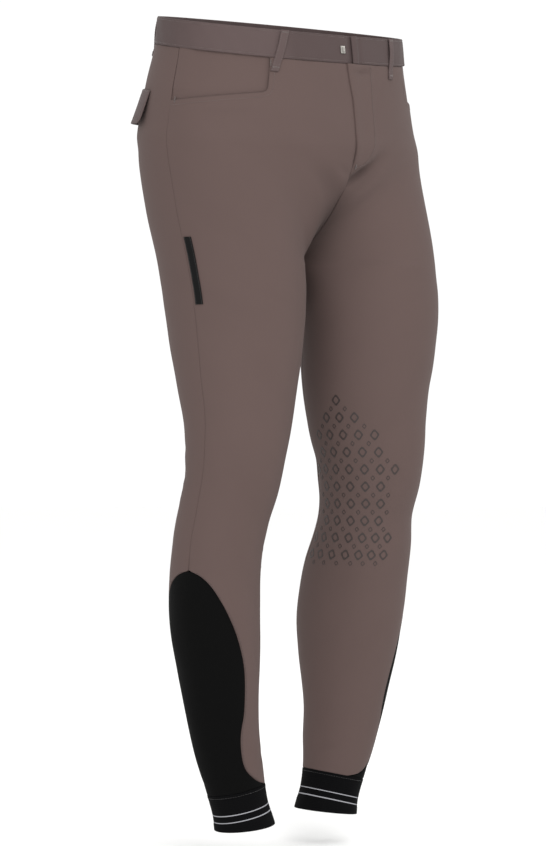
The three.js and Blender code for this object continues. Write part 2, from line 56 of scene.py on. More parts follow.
MM = 0.001
RIGHT = -1
LEFT = 1
SIDES = ((RIGHT, "right"), (LEFT, "left"))


def table(names, rows):
    return dict(zip(names.split(), np.array(rows, dtype=float).T))


# The garment's own sizes, as the solids have them.
CLOTH = 1.2
SEAM_GAP = 0.3
BAND_PROUD = 1.0
CUFF_PROUD = 0.6
TAPE = 1.0
UNDER_LAYER = CLOTH + SEAM_GAP
SEAM_CLOSED = 0.02
BAND_TOP = -16
BAND_FOOT = 16
PANEL_TOP = BAND_FOOT + SEAM_CLOSED
POCKET_CORNER = 57
POCKET_SIDE = 78
POCKET_SHARE = 0.225
SIDE_SHARE = 0.51
FLAP_TOP = 70
FLAP_FOOT = 110
FLAP_SHARES = (0.61, 0.87)
FLY_FOOT = 152
SEAT_DROP = 70
CROTCH_DROP = 266
LABEL_TOP = 241
LABEL_FOOT = 319
LABEL_WIDTH = 10
LABEL_TO_SEAM = 3
CALF_TOP = 626
CUFF_TOP = 880
HEM = 925
CROTCH_X = 0.2
CROTCH_Y = 8
CROTCH_FADE = 85
CROTCH_CURVE = (2.4, 2.0)
NEAR_SEAM = 6
WAIST_RISE_TO_BACK = 0.18
WAIST_RISE_TO_LEFT = 0.045
WAIST_TILT = (24, 214)
LEG_TILT = (276, 376)
FRONT_SQUARENESS = 2.25
BACK_SQUARENESS = 2.1
FOLD_GIRTH = 480
FOLD_LEAST_REACH = 30
VALLEY_DEPTH = 6.5
VALLEY_HALF_WIDTH = 16
SHADE_REACH = 18

HIPS = table("drop wide front back", (
    (-16, 167, 108, 119), (22, 171, 112, 125), (64, 180, 114, 137),
    (99, 186, 117, 145), (129, 191, 120, 150), (266, 181, 110, 133),
))
LEG = table("drop wide front back", (
    (94, 88, 98, 112), (154, 90, 98, 110), (204, 88, 95, 100), (254, 83.5, 90, 91), (314, 80, 87, 85),
    (364, 75, 81, 79), (409, 69, 73, 71), (454, 61, 66, 64), (489, 56, 62, 60), (524, 53, 58, 59),
    (560, 50, 52, 57), (596, 50, 51, 59), (634, 50, 50, 63), (669, 50, 50, 64), (704, 49, 49, 62),
    (739, 46, 47, 56), (774, 42.5, 44, 49), (809, 39.5, 41, 43), (844, 36, 38, 40), (879, 33, 34, 35),
    (904, 31.5, 33, 34), (925, 34, 36, 37),
))
RIGHT_LEG = table("drop x y turn fill", (
    (94, -92, 8, 0, 1), (204, -90, 6, 0, 1), (314, -85, -2, 0, 1), (409, -89, -10, 0, 1),
    (454, -93, -14, 0, 1), (489, -97, -14, 1, 1), (524, -99, -10, 2, 1), (560, -103, -4, 3, 1),
    (596, -106, 2, 4, 1), (666, -108, 4, 5, 1), (736, -104, 3, 5, 1), (807, -100, 0, 5, 1),
    (878, -89, -8, 5, 1), (925, -79, -13, 5, 1),
))
LEFT_LEG = table("drop x y turn fill", (
    (94, 96, -14, 0, 1.02), (204, 99, -27, 3, 1.02), (314, 103, -41, 10, 1.03), (364, 100, -45, 14, 1.04),
    (409, 96, -46, 18, 1.07), (454, 97, -47, 22, 1.1), (489, 100, -49, 24, 1.09), (524, 104, -46, 25, 1.06),
    (560, 108, -40, 26, 1.04), (596, 113, -32, 24, 1.08), (666, 119, -14, 20, 1.14), (736, 119, -2, 18, 1.16),
    (807, 112, 3, 18, 1.13), (878, 100, 8, 19, 1.08), (925, 89, 11, 20, 1.04),
))
SEAMS = table("drop inner side", (
    (-16, -92, 0.51), (124, -92, 0.51), (266, -92, 0.49), (334, -128, 0.585), (454, -150, 0.65),
    (634, -156, 0.667), (925, -154, 0.66),
))
CALF = table("drop front back", (
    (626, 84, 84), (628, 75, 93), (632, 64, 104), (640, 52, 117), (653, 40, 130), (672, 27, 145),
    (700, 14, 158), (742, 4, 168), (788, 5, 170), (820, 16, 166), (844, 19, 164), (857, 15, 166),
    (867, 3, 171), (875, -15, 180), (880, -40, 193),
))

# The folds that the solids have, then finer creases that only the cloth here has.
# Each lies at a drop and share, rises outwards by an angle, and has a half length, half width and height.
FOLD_COLUMNS = "side drop share rise length width height"
FOLDS = table(FOLD_COLUMNS, (
    (1, 150, 0.035, 42, 34, 11, -3), (1, 172, 0.07, 38, 44, 13, 2), (-1, 176, 0.05, 48, 36, 12, -2),
    (1, 245, 0.86, 14, 60, 15, -3), (-1, 250, 0.87, 12, 66, 14, -3), (1, 505, 0.86, 10, 40, 12, -3),
    (1, 535, 0.87, -8, 34, 11, -2.5), (-1, 512, 0.86, 12, 42, 12, -3), (-1, 542, 0.85, -6, 32, 11, -2.5),
))
CREASES = table(FOLD_COLUMNS, (
    (1, 25, 0.024, 8, 12, 3, -1.8), (1, 19.5, 0.03, 8, 12, 3, 0.9), (1, 145, 0.03, 44, 18, 6, 1.8),
    (1, 160, 0.024, 48, 22, 5, -5.2), (1, 173, 0.04, 50, 26, 13, -2.6), (1, 196, 0.06, 56, 40, 8, -1.0),
    (-1, 158, 0.01, 40, 14, 4, -1.0), (-1, 176, 0.03, 58, 26, 7, -1.2),
    (-1, 200, 0.035, 62, 38, 8, -1.0), (1, 222, 0.1, 50, 36, 9, 0.8), (-1, 228, 0.09, 54, 34, 9, 0.7),
    (-1, 236, 0.02, 70, 28, 6, -0.9), (1, 268, 0.04, 64, 30, 8, -0.8), (1, 96, 0.42, 8, 34, 6, -0.5),
    (-1, 88, 0.34, -6, 30, 5, -0.5), (1, 126, 0.7, 20, 40, 9, -0.8), (-1, 132, 0.72, 16, 44, 9, -0.9),
    (1, 190, 0.93, 28, 34, 8, -1.0), (-1, 198, 0.94, 24, 30, 8, -1.0), (1, 222, 0.8, 18, 48, 9, 0.8),
    (-1, 228, 0.79, 14, 46, 9, 0.8), (1, 282, 0.9, 16, 40, 8, -1.0), (-1, 290, 0.9, 14, 38, 8, -1.0),
    (1, 476, 0.83, 16, 30, 6, -0.9), (-1, 484, 0.84, 14, 30, 6, -1.0), (1, 521, 0.8, 2, 28, 5, -1.0),
    (-1, 528, 0.79, 3, 30, 5, -1.1), (1, 560, 0.86, -14, 30, 7, -0.9), (-1, 566, 0.87, -12, 28, 7, -1.0),
    (1, 540, 0.2, -10, 26, 7, -0.5), (-1, 548, 0.2, -12, 26, 7, -0.6), (1, 850, 0.2, 6, 26, 6, -0.5),
    (-1, 846, 0.3, -5, 28, 6, -0.5), (1, 866, 0.5, -6, 24, 4, -0.5), (-1, 868, 0.75, 6, 24, 4, -0.6),
))

# How the edge of a panel turns in at a seam: so far in from the seam line, so far below the skin.
SEAM_ROLL = table("inset sink", ((0.02, 2.4), (0.06, 1.0), (0.35, 0.36), (0.9, 0.1), (1.8, 0)))


def mix(a, b, t):
    return a + (b - a) * t


def ramp(value, start, end):
    """A soft step from 0 at start to 1 at end."""
    t = np.clip((value - start) / (end - start), 0, 1)
    return t * t * (3 - 2 * t)


def read(rows, name, drop):
    """A smooth curve through one column of a table."""
    x, y = rows["drop"], rows[name]
    drop = np.clip(drop, x[0], x[-1])
    i = np.clip(np.searchsorted(x, drop) - 1, 0, len(x) - 2)
    before = np.maximum(np.arange(len(x)) - 1, 0)
    after = np.minimum(np.arange(len(x)) + 1, len(x) - 1)
    slope = (y[after] - y[before]) / (x[after] - x[before])
    span = x[i + 1] - x[i]
    t = (drop - x[i]) / span
    t2, t3 = t * t, t * t * t
    ends = (2 * t3 - 3 * t2 + 1) * y[i] + (3 * t2 - 2 * t3) * y[i + 1]
    return ends + span * ((t3 - 2 * t2 + t) * slope[i] + (t3 - t2) * slope[i + 1])


def leg_oval(side, drop, angle):
    pose = LEFT_LEG if side > 0 else RIGHT_LEG
    turn = side * np.radians(read(pose, "turn", drop))
    fill = read(pose, "fill", drop)
    ahead = np.cos(np.radians(angle))
    across = side * np.sin(np.radians(angle)) * read(LEG, "wide", drop) * fill
    ahead = ahead * np.where(ahead > 0, read(LEG, "front", drop), read(LEG, "back", drop)) * fill
    x = read(pose, "x", drop) + across * np.cos(turn) + ahead * np.sin(turn)
    return x, read(pose, "y", drop) + across * np.sin(turn) - ahead * np.cos(turn)


def leg_loop(side, drop, share):
    inner = read(SEAMS, "inner", drop)
    x, y = leg_oval(side, drop, inner + 360 * share)
    seam_x, seam_y = leg_oval(side, drop, inner)
    pull = (1 - np.clip((drop - CROTCH_DROP) / CROTCH_FADE, 0, 1)) ** 2
    pull = pull * np.maximum(0, np.cos(2 * np.pi * share)) ** NEAR_SEAM
    return x + pull * (side * CROTCH_X - seam_x), y + pull * (CROTCH_Y - seam_y)


def hips_half(side, drop, share):
    ahead, across = np.cos(np.pi * share), np.sin(np.pi * share)
    power = 2 / np.where(ahead > 0, FRONT_SQUARENESS, BACK_SQUARENESS)
    depth = np.where(ahead > 0, read(HIPS, "front", drop), read(HIPS, "back", drop))
    x = side * read(HIPS, "wide", drop) * np.sign(across) * np.abs(across) ** power
    return x, -depth * np.sign(ahead) * np.abs(ahead) ** power


def ring_point(side, drop, share):
    down = np.clip((drop - SEAT_DROP) / (CROTCH_DROP - SEAT_DROP), 0, 1)
    hips_x, hips_y = hips_half(side, drop, share)
    leg_x, leg_y = leg_loop(side, drop, share)
    curve = mix(CROTCH_CURVE[0], CROTCH_CURVE[1], np.clip(share, 0, 1))
    rise = 1 - np.sqrt(np.maximum(0, 1 - down ** curve))
    at_centre = np.abs(np.cos(np.pi * share)) ** NEAR_SEAM
    closed = np.where(drop >= CROTCH_DROP, 1, mix(ramp(down, 0, 1), rise, at_centre))
    return mix(hips_x, leg_x, closed), mix(hips_y, leg_y, closed)


def fold_height(folds, side, drop, share):
    total = np.zeros(np.broadcast(drop, share).shape)
    for k in np.flatnonzero(folds["side"] == side):
        rise = math.radians(folds["rise"][k])
        round_by = (share - folds["share"][k]) * FOLD_GIRTH
        down_by = drop - folds["drop"][k]
        along = (round_by * math.cos(rise) - down_by * math.sin(rise)) / folds["length"][k]
        across = (round_by * math.sin(rise) + down_by * math.cos(rise)) / folds["width"][k]
        total = total + folds["height"][k] * np.exp(-along**2 - across**2)
    return total


def lean(side, x, y, drop):
    """How much higher a point lies than its drop says, because the rings are tilted."""
    pose = LEFT_LEG if side > 0 else RIGHT_LEG
    up = (1 - ramp(drop, *WAIST_TILT)) * (WAIST_RISE_TO_BACK * y + WAIST_RISE_TO_LEFT * x)
    half = 14
    for name, place in (("x", x), ("y", y)):
        slope = (read(pose, name, drop + half) - read(pose, name, drop - half)) / (2 * half)
        up = up + ramp(drop, *LEG_TILT) * slope * (place - read(pose, name, drop))
    return up


def skin_point(side, drop, share):
    """A point of the skin. Past its edges a hips ring goes on in the other half and a leg ring closes."""
    drop, share = np.broadcast_arrays(np.asarray(drop, float), np.asarray(share, float))
    past = (share < 0) | (share > 1)
    hips = drop <= CROTCH_DROP
    mirrored = np.where(share < 0, -share, 2 - share)
    inside = np.where(past, np.where(hips, mirrored, share % 1), share)
    x, y = ring_point(side, drop, inside)
    pose = LEFT_LEG if side > 0 else RIGHT_LEG
    from_x = x - np.where(hips, 0, read(pose, "x", drop))
    from_y = y - np.where(hips, 0, read(pose, "y", drop))
    reach = np.maximum(np.hypot(from_x, from_y), FOLD_LEAST_REACH)
    swell = fold_height(FOLDS, side, drop, inside) / reach
    x = np.where(past & hips, -1, 1) * (x + from_x * swell)
    y = y + from_y * swell
    return np.stack([x, y, -drop + lean(side, x, y, drop)], axis=-1)


def skin(side, drop, share):
    """Points of the skin, the way out of the cloth there, and millimetres to one whole share."""
    step_share, step_drop = 0.008, 2
    share = np.asarray(share, float)
    drop = np.asarray(drop, float)
    round_by = skin_point(side, drop, share + step_share) - skin_point(side, drop, share - step_share)
    down_by = skin_point(side, drop + step_drop, share) - skin_point(side, drop - step_drop, share)
    out = np.cross(down_by, round_by) * side
    out = out / np.linalg.norm(out, axis=-1, keepdims=True)
    return skin_point(side, drop, share), out, np.linalg.norm(round_by, axis=-1) / (2 * step_share)


def valley(drop, share):
    """How the cloth sinks along the seams that meet at the crotch, between the two thighs."""
    from_seam = np.minimum(np.abs(share), np.abs(1 - share)) * FOLD_GIRTH
    depth = VALLEY_DEPTH * ramp(drop, 160, 240) * (1 - ramp(drop, 275, 345))
    return -depth * np.exp(-((from_seam / VALLEY_HALF_WIDTH) ** 2))


def relief(side, drop, share):
    """The cloth's own creases, and slow waves far too shallow to read as folds, in millimetres."""
    waves = np.sin(drop / 23 + 5 * np.pi * share + side) * np.sin(drop / 61 - 4 * np.pi * share)
    waves = 0.22 * waves + 0.1 * np.sin(drop / 11 + 14 * np.pi * share + 2 * side)
    return fold_height(CREASES, side, drop, share) + valley(drop, share) + waves


def fold_shade(side, drop, share):
    """Painted shade in the cloth's folds, darker the deeper a fold is, and most of all between the thighs."""
    deep = relief(side, drop, share) + 0.6 * fold_height(FOLDS, side, drop, share)
    from_seam = np.minimum(np.abs(share), np.abs(1 - share)) * FOLD_GIRTH
    between = 2.6 * ramp(drop, 150, 225) * (1 - ramp(drop, 285, 350)) * np.exp(-from_seam / SHADE_REACH)
    return np.maximum(between, 1.1 * np.clip(-deep / 4, 0, 1.6))


def front_edge(drop):
    return np.zeros(np.shape(drop))


# How far the fly's upper edge laps over the middle of the garment.
FLY_LAP = table("drop lap", ((16, 12), (28, 10.5), (48, 6), (60, 3.2), (80, 2), (106, 1), (130, 0)))


def fly_edge(drop):
    """The left front's own front edge, which laps over the right front by the fly."""
    lap = read(FLY_LAP, "lap", drop)
    return -lap / skin(LEFT, drop, np.zeros(np.shape(drop)))[2]


def back_edge(drop):
    return np.ones(np.shape(drop))


def side_seam(drop):
    return read(SEAMS, "side", drop)


def calf_edge(name):
    return lambda drop: (read(CALF, name, drop) - read(SEAMS, "inner", drop)) / 360


def outer_edge(name):
    """The outer seam of a leg panel: the side seam, then the border of the calf panel."""
    lower = calf_edge(name)
    return lambda drop: np.where(drop > CALF_TOP, lower(drop), side_seam(drop))


def slant(side, drops, edge):
    """How much further round a ring a distance reaches where the seam slants."""
    down_by = skin_point(side, drops + 1, edge(drops + 1)) - skin_point(side, drops - 1, edge(drops - 1))
    round_by = skin_point(side, drops, edge(drops) + 0.004) - skin_point(side, drops, edge(drops) - 0.004)
    sine = np.linalg.norm(np.cross(down_by, round_by), axis=-1)
    sine = sine / np.linalg.norm(down_by, axis=-1) / np.linalg.norm(round_by, axis=-1)
    return 1 / np.maximum(sine, 0.35)


def rows_down(top, foot, spacing, extra=()):
    """Drops from top to foot, close together where the cloth turns in at either end, and their sink."""
    inset = SEAM_ROLL["inset"]
    count = int(round((foot - top) / spacing))
    inner = np.linspace(top, foot, count + 1)[1:-1]
    if len(extra):
        inner = np.array([d for d in inner if np.min(np.abs(np.asarray(extra) - d)) > 0.35 * spacing])
    inner = np.sort(np.concatenate([inner, extra]))
    inner = inner[(inner > top + 2.2) & (inner < foot - 2.2)]
    sink = np.concatenate([SEAM_ROLL["sink"], np.zeros(len(inner)), SEAM_ROLL["sink"][::-1]])
    return np.concatenate([top + inset, inner, foot - inset[::-1]]), sink


def shares_across(side, drops, first, last, inner):
    """Shares of each row from one seam line to another, close together at both, and their sink."""
    a, b = first(drops), last(drops)
    pace_a, pace_b = skin(side, drops, a)[2], skin(side, drops, b)[2]
    width = (b - a) * (pace_a + pace_b) / 2
    reach_a, reach_b = slant(side, drops, first), slant(side, drops, last)
    fit = np.minimum(1, 0.45 * width / (SEAM_ROLL["inset"][-1] * (reach_a + reach_b)))
    left = a[:, None] + SEAM_ROLL["inset"] * (fit * reach_a / pace_a)[:, None]
    right = b[:, None] - SEAM_ROLL["inset"][::-1] * (fit * reach_b / pace_b)[:, None]
    middle = left[:, -1:] + np.asarray(inner) * (right[:, :1] - left[:, -1:])
    sink = np.concatenate([SEAM_ROLL["sink"], np.zeros(len(inner)), SEAM_ROLL["sink"][::-1]])
    return np.concatenate([left, middle, right], axis=1), sink


def grid(drops, shares):
    """The drop and share of every place in a grid of rows and columns."""
    size = (len(drops), np.shape(shares)[-1])
    return np.broadcast_to(np.reshape(drops, (-1, 1)), size), np.broadcast_to(shares, size)


def cloth_map(points):
    """Flat places of a grid's points in metres: down along its middle column, and round from it."""
    middle = points.shape[1] // 2
    round_by = np.linalg.norm(np.diff(points, axis=1), axis=-1)
    u = np.concatenate([np.zeros((len(points), 1)), np.cumsum(round_by, axis=1)], axis=1)
    u = u - u[:, middle : middle + 1]
    down_by = np.linalg.norm(np.diff(points[:, middle], axis=0), axis=-1)
    v = np.concatenate([[0], np.cumsum(down_by)])
    return np.stack([u, np.broadcast_to(v[:, None], u.shape)], axis=-1) * MM


def new_object(name, mesh):
    made = bpy.data.objects.new(name, mesh)
    bpy.context.scene.collection.objects.link(made)
    return made


def wall(name, points, out, high, low, material, keep=None, closed=False,
         near=None, half=0, least=SEAM_CLOSED):
    """A closed cloth wall between two distances out of a grid of skin places, in millimetres.
    keep says which cells have cloth, near how much painted shade each place has, at seams, in folds and in
    recesses, and half keeps it on its side, at least so far from the middle plane."""
    rows, columns = points.shape[:2]
    high, low = (np.broadcast_to(level, (rows, columns)) for level in (high, low))
    both = np.stack([points + out * high[..., None], points + out * low[..., None]])
    if half:
        both[..., 0] = half * np.maximum(half * both[..., 0], least)
    flat = np.stack([cloth_map(points)] * 2)
    near = np.zeros((rows, columns)) if near is None else np.broadcast_to(near, (rows, columns))
    ids = np.arange(2 * rows * columns).reshape(2, rows, columns)
    if closed:
        ids = np.concatenate([ids, ids[:, :, :1]], axis=2)
    cells = ids.shape[2] - 1
    kept = np.ones((rows - 1, cells), bool) if keep is None else keep
    o, i = ids
    quads = [
        np.stack([o[:-1, :-1], o[1:, :-1], o[1:, 1:], o[:-1, 1:]], axis=-1)[kept],
        np.stack([i[:-1, :-1], i[:-1, 1:], i[1:, 1:], i[1:, :-1]], axis=-1)[kept],
    ]
    room = np.pad(kept, 1)
    if closed:
        room[1:-1, 0], room[1:-1, -1] = kept[:, -1], kept[:, 0]
    for above, (r0, c0, r1, c1) in (
        (room[:-2, 1:-1], (0, 1, 0, 0)),
        (room[2:, 1:-1], (1, 0, 1, 1)),
        (room[1:-1, :-2], (0, 0, 1, 0)),
        (room[1:-1, 2:], (1, 1, 0, 1)),
    ):
        rim = kept & ~above
        start = (slice(r0, rows - 1 + r0), slice(c0, cells + c0))
        end = (slice(r1, rows - 1 + r1), slice(c1, cells + c1))
        quads.append(np.stack([o[start], i[start], i[end], o[end]], axis=-1)[rim])
    faces = np.concatenate(quads)
    vertices = both.reshape(-1, 3) * MM
    used, faces = np.unique(faces, return_inverse=True)
    faces = faces.reshape(-1, 4)
    vertices = vertices[used]
    corners = vertices[faces]
    volume = np.einsum("ij,ij->", corners[:, 0], np.cross(corners[:, 1], corners[:, 2]))
    volume += np.einsum("ij,ij->", corners[:, 0], np.cross(corners[:, 2], corners[:, 3]))
    if volume < 0:
        faces = faces[:, ::-1]
    mesh = bpy.data.meshes.new(name)
    mesh.from_pydata(vertices.tolist(), [], faces.tolist())
    places = flat.reshape(-1, 2)[used][faces.ravel()]
    mesh.uv_layers.new(name="cloth").data.foreach_set("uv", places.ravel())
    # The painted shade of each place, which the cloth shaders darken the colour by.
    close = mesh.attributes.new("painted_shade", "FLOAT", "POINT")
    close.data.foreach_set("value", np.stack([near] * 2).ravel()[used])
    mesh.shade_smooth()
    mesh.set_sharp_from_angle(angle=math.radians(62))
    mesh.materials.append(material)
    return new_object(name, mesh)


def round_edges(distance, thickness):
    """How far a wall's faces draw in near its edge, so that the edge is round."""
    radius = thickness / 2
    t = np.clip(1 - distance / radius, 0, 1)
    return radius * (1 - np.sqrt(1 - t * t)) * 0.98


def finish_sheet(piece, nodes):
    """Hides the solids that a cloth piece stands for, and sets what it rides on: the root."""
    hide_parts(*nodes)
    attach(piece, "root")


def linear(code):
    """An sRGB hex colour as the linear one that shaders take."""
    parts = [int(code[k : k + 2], 16) / 255 for k in (0, 2, 4)]
    return tuple(c / 12.92 if c <= 0.04045 else ((c + 0.055) / 1.055) ** 2.4 for c in parts)


def add(tree, kind, inputs=None, **settings):
    """Adds a node with its settings. An input given a socket is linked to it, any other takes the value."""
    made = tree.nodes.new(kind)
    for name, value in settings.items():
        setattr(made, name, value)
    for name, value in (inputs or {}).items():
        if isinstance(value, bpy.types.NodeSocket):
            tree.links.new(value, made.inputs[name])
        else:
            made.inputs[name].default_value = value
    return made


def solid_place(tree):
    return add(tree, "ShaderNodeTexCoord").outputs["Object"]


def noise(tree, place, scale, detail, roughness=0.5):
    return add(tree, "ShaderNodeTexNoise", {
        "Vector": place, "Scale": scale, "Detail": detail, "Roughness": roughness,
    }).outputs["Fac"]


def blend(tree, factor, first, second, how="MIX"):
    """Two colours mixed by a factor."""
    return add(tree, "ShaderNodeMix", {
        "Factor": factor, 6: first, 7: second,
    }, data_type="RGBA", blend_type=how).outputs[2]


def spread(tree, value, low, high, top=1.0):
    """A value from 0 to top as one from low to high."""
    return add(tree, "ShaderNodeMapRange", {
        "Value": value, "From Max": top, "To Min": low, "To Max": high,
    }).outputs[0]


def bumped(tree, height, strength, depth):
    return add(tree, "ShaderNodeBump", {"Height": height, "Strength": strength, "Distance": depth}).outputs[0]


def material(name, build):
    """The named material, built once."""
    known = bpy.data.materials.get(name)
    if known:
        return known
    made = bpy.data.materials.new(name)
    made.use_nodes = True
    tree = made.node_tree
    tree.nodes.clear()
    shader = build(tree)
    add(tree, "ShaderNodeOutputMaterial", {"Surface": shader.outputs[0]})
    return made


# A wave texture's own period at scale 1, with its bands on the slant.
SLANT_PERIOD = 2 * math.pi / 10 / math.sqrt(2)


def rgba(colour, lightness=1.0):
    return (*[c * lightness for c in colour], 1)


def woven(tree, colour, thread, depth, roughness, sheen, painted_shade_level=0.8, gloss=0.1):
    """A cloth shader: a fine twill at a real thread size, soft dye clouds, and painted shade at seams, in
    folds and in recesses, read from an attribute.
    """
    flat = add(tree, "ShaderNodeUVMap", uv_map="cloth").outputs["UV"]
    twill = add(tree, "ShaderNodeTexWave", {
        "Vector": flat, "Scale": SLANT_PERIOD / (thread * MM), "Distortion": 0.6, "Detail": 1.0,
    }, wave_type="BANDS", bands_direction="DIAGONAL").outputs["Fac"]
    fibre = noise(tree, flat, 1 / (1.5 * thread * MM), 2.0, 0.6)
    cloud = noise(tree, solid_place(tree), 7.0, 3.0)
    dyed = blend(tree, cloud, rgba(colour, 0.95), rgba(colour, 1.05))
    grain = add(tree, "ShaderNodeMix", {"Factor": 0.4, 2: twill, 3: fibre}).outputs[0]
    lit = blend(tree, 1.0, dyed, spread(tree, grain, 0.93, 1.06), "MULTIPLY")
    # Painted shade: the colour is darkened by the shade amount that the wall gave each place.
    near = add(tree, "ShaderNodeAttribute", attribute_name="painted_shade").outputs["Fac"]
    shade_factor = spread(tree, near, 1.0, 3 * painted_shade_level - 2, top=3.0)
    base = blend(tree, 1.0, lit, shade_factor, "MULTIPLY")
    rough = spread(tree, fibre, roughness - 0.05, roughness + 0.05)
    bump = bumped(tree, grain, 0.5, depth * MM)
    return add(tree, "ShaderNodeBsdfPrincipled", {
        "Base Color": base, "Roughness": rough, "Normal": bump, "Sheen Weight": sheen,
        "Sheen Roughness": 0.45, "Sheen Tint": rgba(mix(np.array(colour), 1.0, 0.55)), "IOR": 1.45,
        "Specular IOR Level": gloss,
    })


def leg_twill():
    """Brushed stretch twill of polyamide and elastane: matt and very even, with a soft bloom at its edges.
    The threads are 0.4 mm apart; the twill line is drawn 0.8 mm wide so that it just shows close up."""
    colour = bpy.context.scene.breeches_colours.cloth
    return material("Brushed stretch twill", lambda tree: woven(tree, colour, 0.8, 0.05, 0.74, 0.06))


def band_twill():
    """The same twill, doubled and pressed hard over a stiff band, so a shade darker and smoother."""
    colour = bpy.context.scene.breeches_colours.band
    return material("Pressed stretch twill", lambda tree: woven(tree, colour, 0.8, 0.05, 0.68, 0.05))


def black_jersey():
    """Black knitted stretch jersey of polyamide and elastane: fine wales 0.6 mm apart, matt."""
    colour = bpy.context.scene.breeches_colours.calf

    def build(tree):
        return woven(tree, colour, 0.6, 0.08, 0.8, 0.01, painted_shade_level=0.75, gloss=0.04)

    return material("Black stretch jersey", build)


def cuff_elastic():
    """Knitted elastic with fine courses round the ankle and two thin grey yarns knitted in: matt black."""
    colours = bpy.context.scene.breeches_colours

    def build(tree):
        shader = woven(tree, colours.cuff, 0.7, 0.1, 0.82, 0.01, painted_shade_level=0.8, gloss=0.04)
        flat = add(tree, "ShaderNodeUVMap", uv_map="cloth").outputs["UV"]
        down = add(tree, "ShaderNodeSeparateXYZ", {"Vector": flat}).outputs["Y"]
        yarns = None
        for stripe in STRIPE_DROPS:
            line = add(tree, "ShaderNodeMath", {
                0: down, 1: (stripe - CUFF_TOP) * MM, 2: STRIPE_WIDTH / 2 * MM,
            }, operation="COMPARE").outputs[0]
            if yarns is None:
                yarns = line
            else:
                yarns = add(tree, "ShaderNodeMath", {0: yarns, 1: line}, operation="MAXIMUM").outputs[0]
        plain = shader.inputs["Base Color"].links[0].from_socket
        striped = blend(tree, yarns, plain, rgba(colours.stripe))
        tree.links.new(striped, shader.inputs["Base Color"])
        return shader

    return material("Knitted cuff elastic", build)


def yarn(name, colour):
    """Spun polyester sewing thread: two plies with a slight gloss."""

    def build(tree):
        plies = noise(tree, solid_place(tree), 1800.0, 1.0)
        tone = blend(tree, plies, rgba(colour, 0.85), rgba(colour, 1.15))
        bump = bumped(tree, plies, 0.4, 0.1 * MM)
        return add(tree, "ShaderNodeBsdfPrincipled", {
            "Base Color": tone, "Roughness": 0.5, "Normal": bump, "Sheen Weight": 0.2,
        })

    return material(name, build)


def grip_silicone():
    """Screen-printed silicone, cured on the cloth: smoother than the twill, darker, with a dull wet gloss."""
    colour = bpy.context.scene.breeches_colours.grip

    def build(tree):
        grain = noise(tree, solid_place(tree), 900.0, 2.0)
        tone = blend(tree, grain, rgba(colour, 0.9), rgba(colour, 1.1))
        bump = bumped(tree, grain, 0.3, 0.1 * MM)
        return add(tree, "ShaderNodeBsdfPrincipled", {
            "Base Color": tone, "Roughness": 0.55, "Normal": bump, "IOR": 1.41,
        })

    return material("Printed silicone", build)


def label_tape():
    """Black woven polyester ribbon: a close plain weave with a slight satin shine."""
    colour = bpy.context.scene.breeches_colours.label
    return material("Woven ribbon", lambda tree: woven(tree, colour, 0.5, 0.06, 0.55, 0.02))


def hook_steel():
    """Pressed nickel-plated steel, tumbled: bright, with a fine satin scratch."""

    def build(tree):
        long = add(tree, "ShaderNodeMapping", {"Vector": solid_place(tree), "Scale": (900, 900, 120)})
        rough = spread(tree, noise(tree, long.outputs[0], 1.0, 3.0), 0.22, 0.42)
        return add(tree, "ShaderNodeBsdfPrincipled", {
            "Base Color": rgba(bpy.context.scene.breeches_colours.steel), "Metallic": 1.0, "Roughness": rough,
        })

    return material("Plated pressed steel", build)


# Stripes knitted into each cuff, and its courses.
STRIPE_DROPS = (904.3, 912.6)
STRIPE_WIDTH = 1.1
COURSE = 2.4
COURSE_HEIGHT = 0.13
CUFF_COLUMNS = 120

# The front pocket's mouth: the radius of its corner, and how far in its topstitching lies.
MOUTH_RADIUS = 6
MOUTH_STITCH = 6.5
CORNER_ROWS = (50.4, 51.6, 53, 54.4, 55.5, 56.4, POCKET_CORNER, 57.8, 58.8, 60.5)


def mouth_foot(share):
    """The drop of the pocket mouth's lower edge, which falls towards the side seam."""
    t = np.clip((share - POCKET_SHARE) / (SIDE_SHARE - POCKET_SHARE), 0, 1)
    return mix(POCKET_CORNER, POCKET_SIDE, t)


def mouth_distance(side, drop, share):
    """How far a place lies outside the pocket's mouth, whose lower corner is round."""
    pace = skin(side, drop, share)[2]
    before = (POCKET_SHARE - share) * pace + MOUTH_RADIUS
    below = drop - mouth_foot(share) + MOUTH_RADIUS
    corner = np.hypot(np.maximum(before, 0), np.maximum(below, 0))
    return corner + np.minimum(np.maximum(before, below), 0) - MOUTH_RADIUS


def front_shares(side, drops, first_edge):
    """Shares of a leg front's rows. One column follows the pocket's edge and rounds its corner."""
    first = 1.8 / 520
    at_mouth = (POCKET_SHARE - first) / (SIDE_SHARE - 2 * first)
    span = 270
    inner = np.concatenate([
        np.linspace(0, at_mouth, 42)[1:-1], at_mouth - np.array([1.7, 0.7]) / span, [at_mouth],
        np.linspace(at_mouth, 1, 50)[1:-1],
    ])
    inner = np.sort(inner)
    shares, sink = shares_across(side, drops, first_edge, outer_edge("front"), inner)
    column = len(SEAM_ROLL["inset"]) + int(np.flatnonzero(inner == at_mouth)[0])
    corner = MOUTH_RADIUS / skin(side, POCKET_CORNER, POCKET_SHARE)[2]
    turn = np.clip((drops - POCKET_CORNER + MOUTH_RADIUS) / MOUTH_RADIUS, 0, 1)
    rounding = np.where(drops <= POCKET_CORNER, 1 - np.sqrt(1 - turn**2), 1 - ramp(drops, POCKET_CORNER, 90))
    close = np.exp(-(((shares - POCKET_SHARE) / 0.03) ** 2))
    return shares + corner * rounding[:, None] * close, sink, column


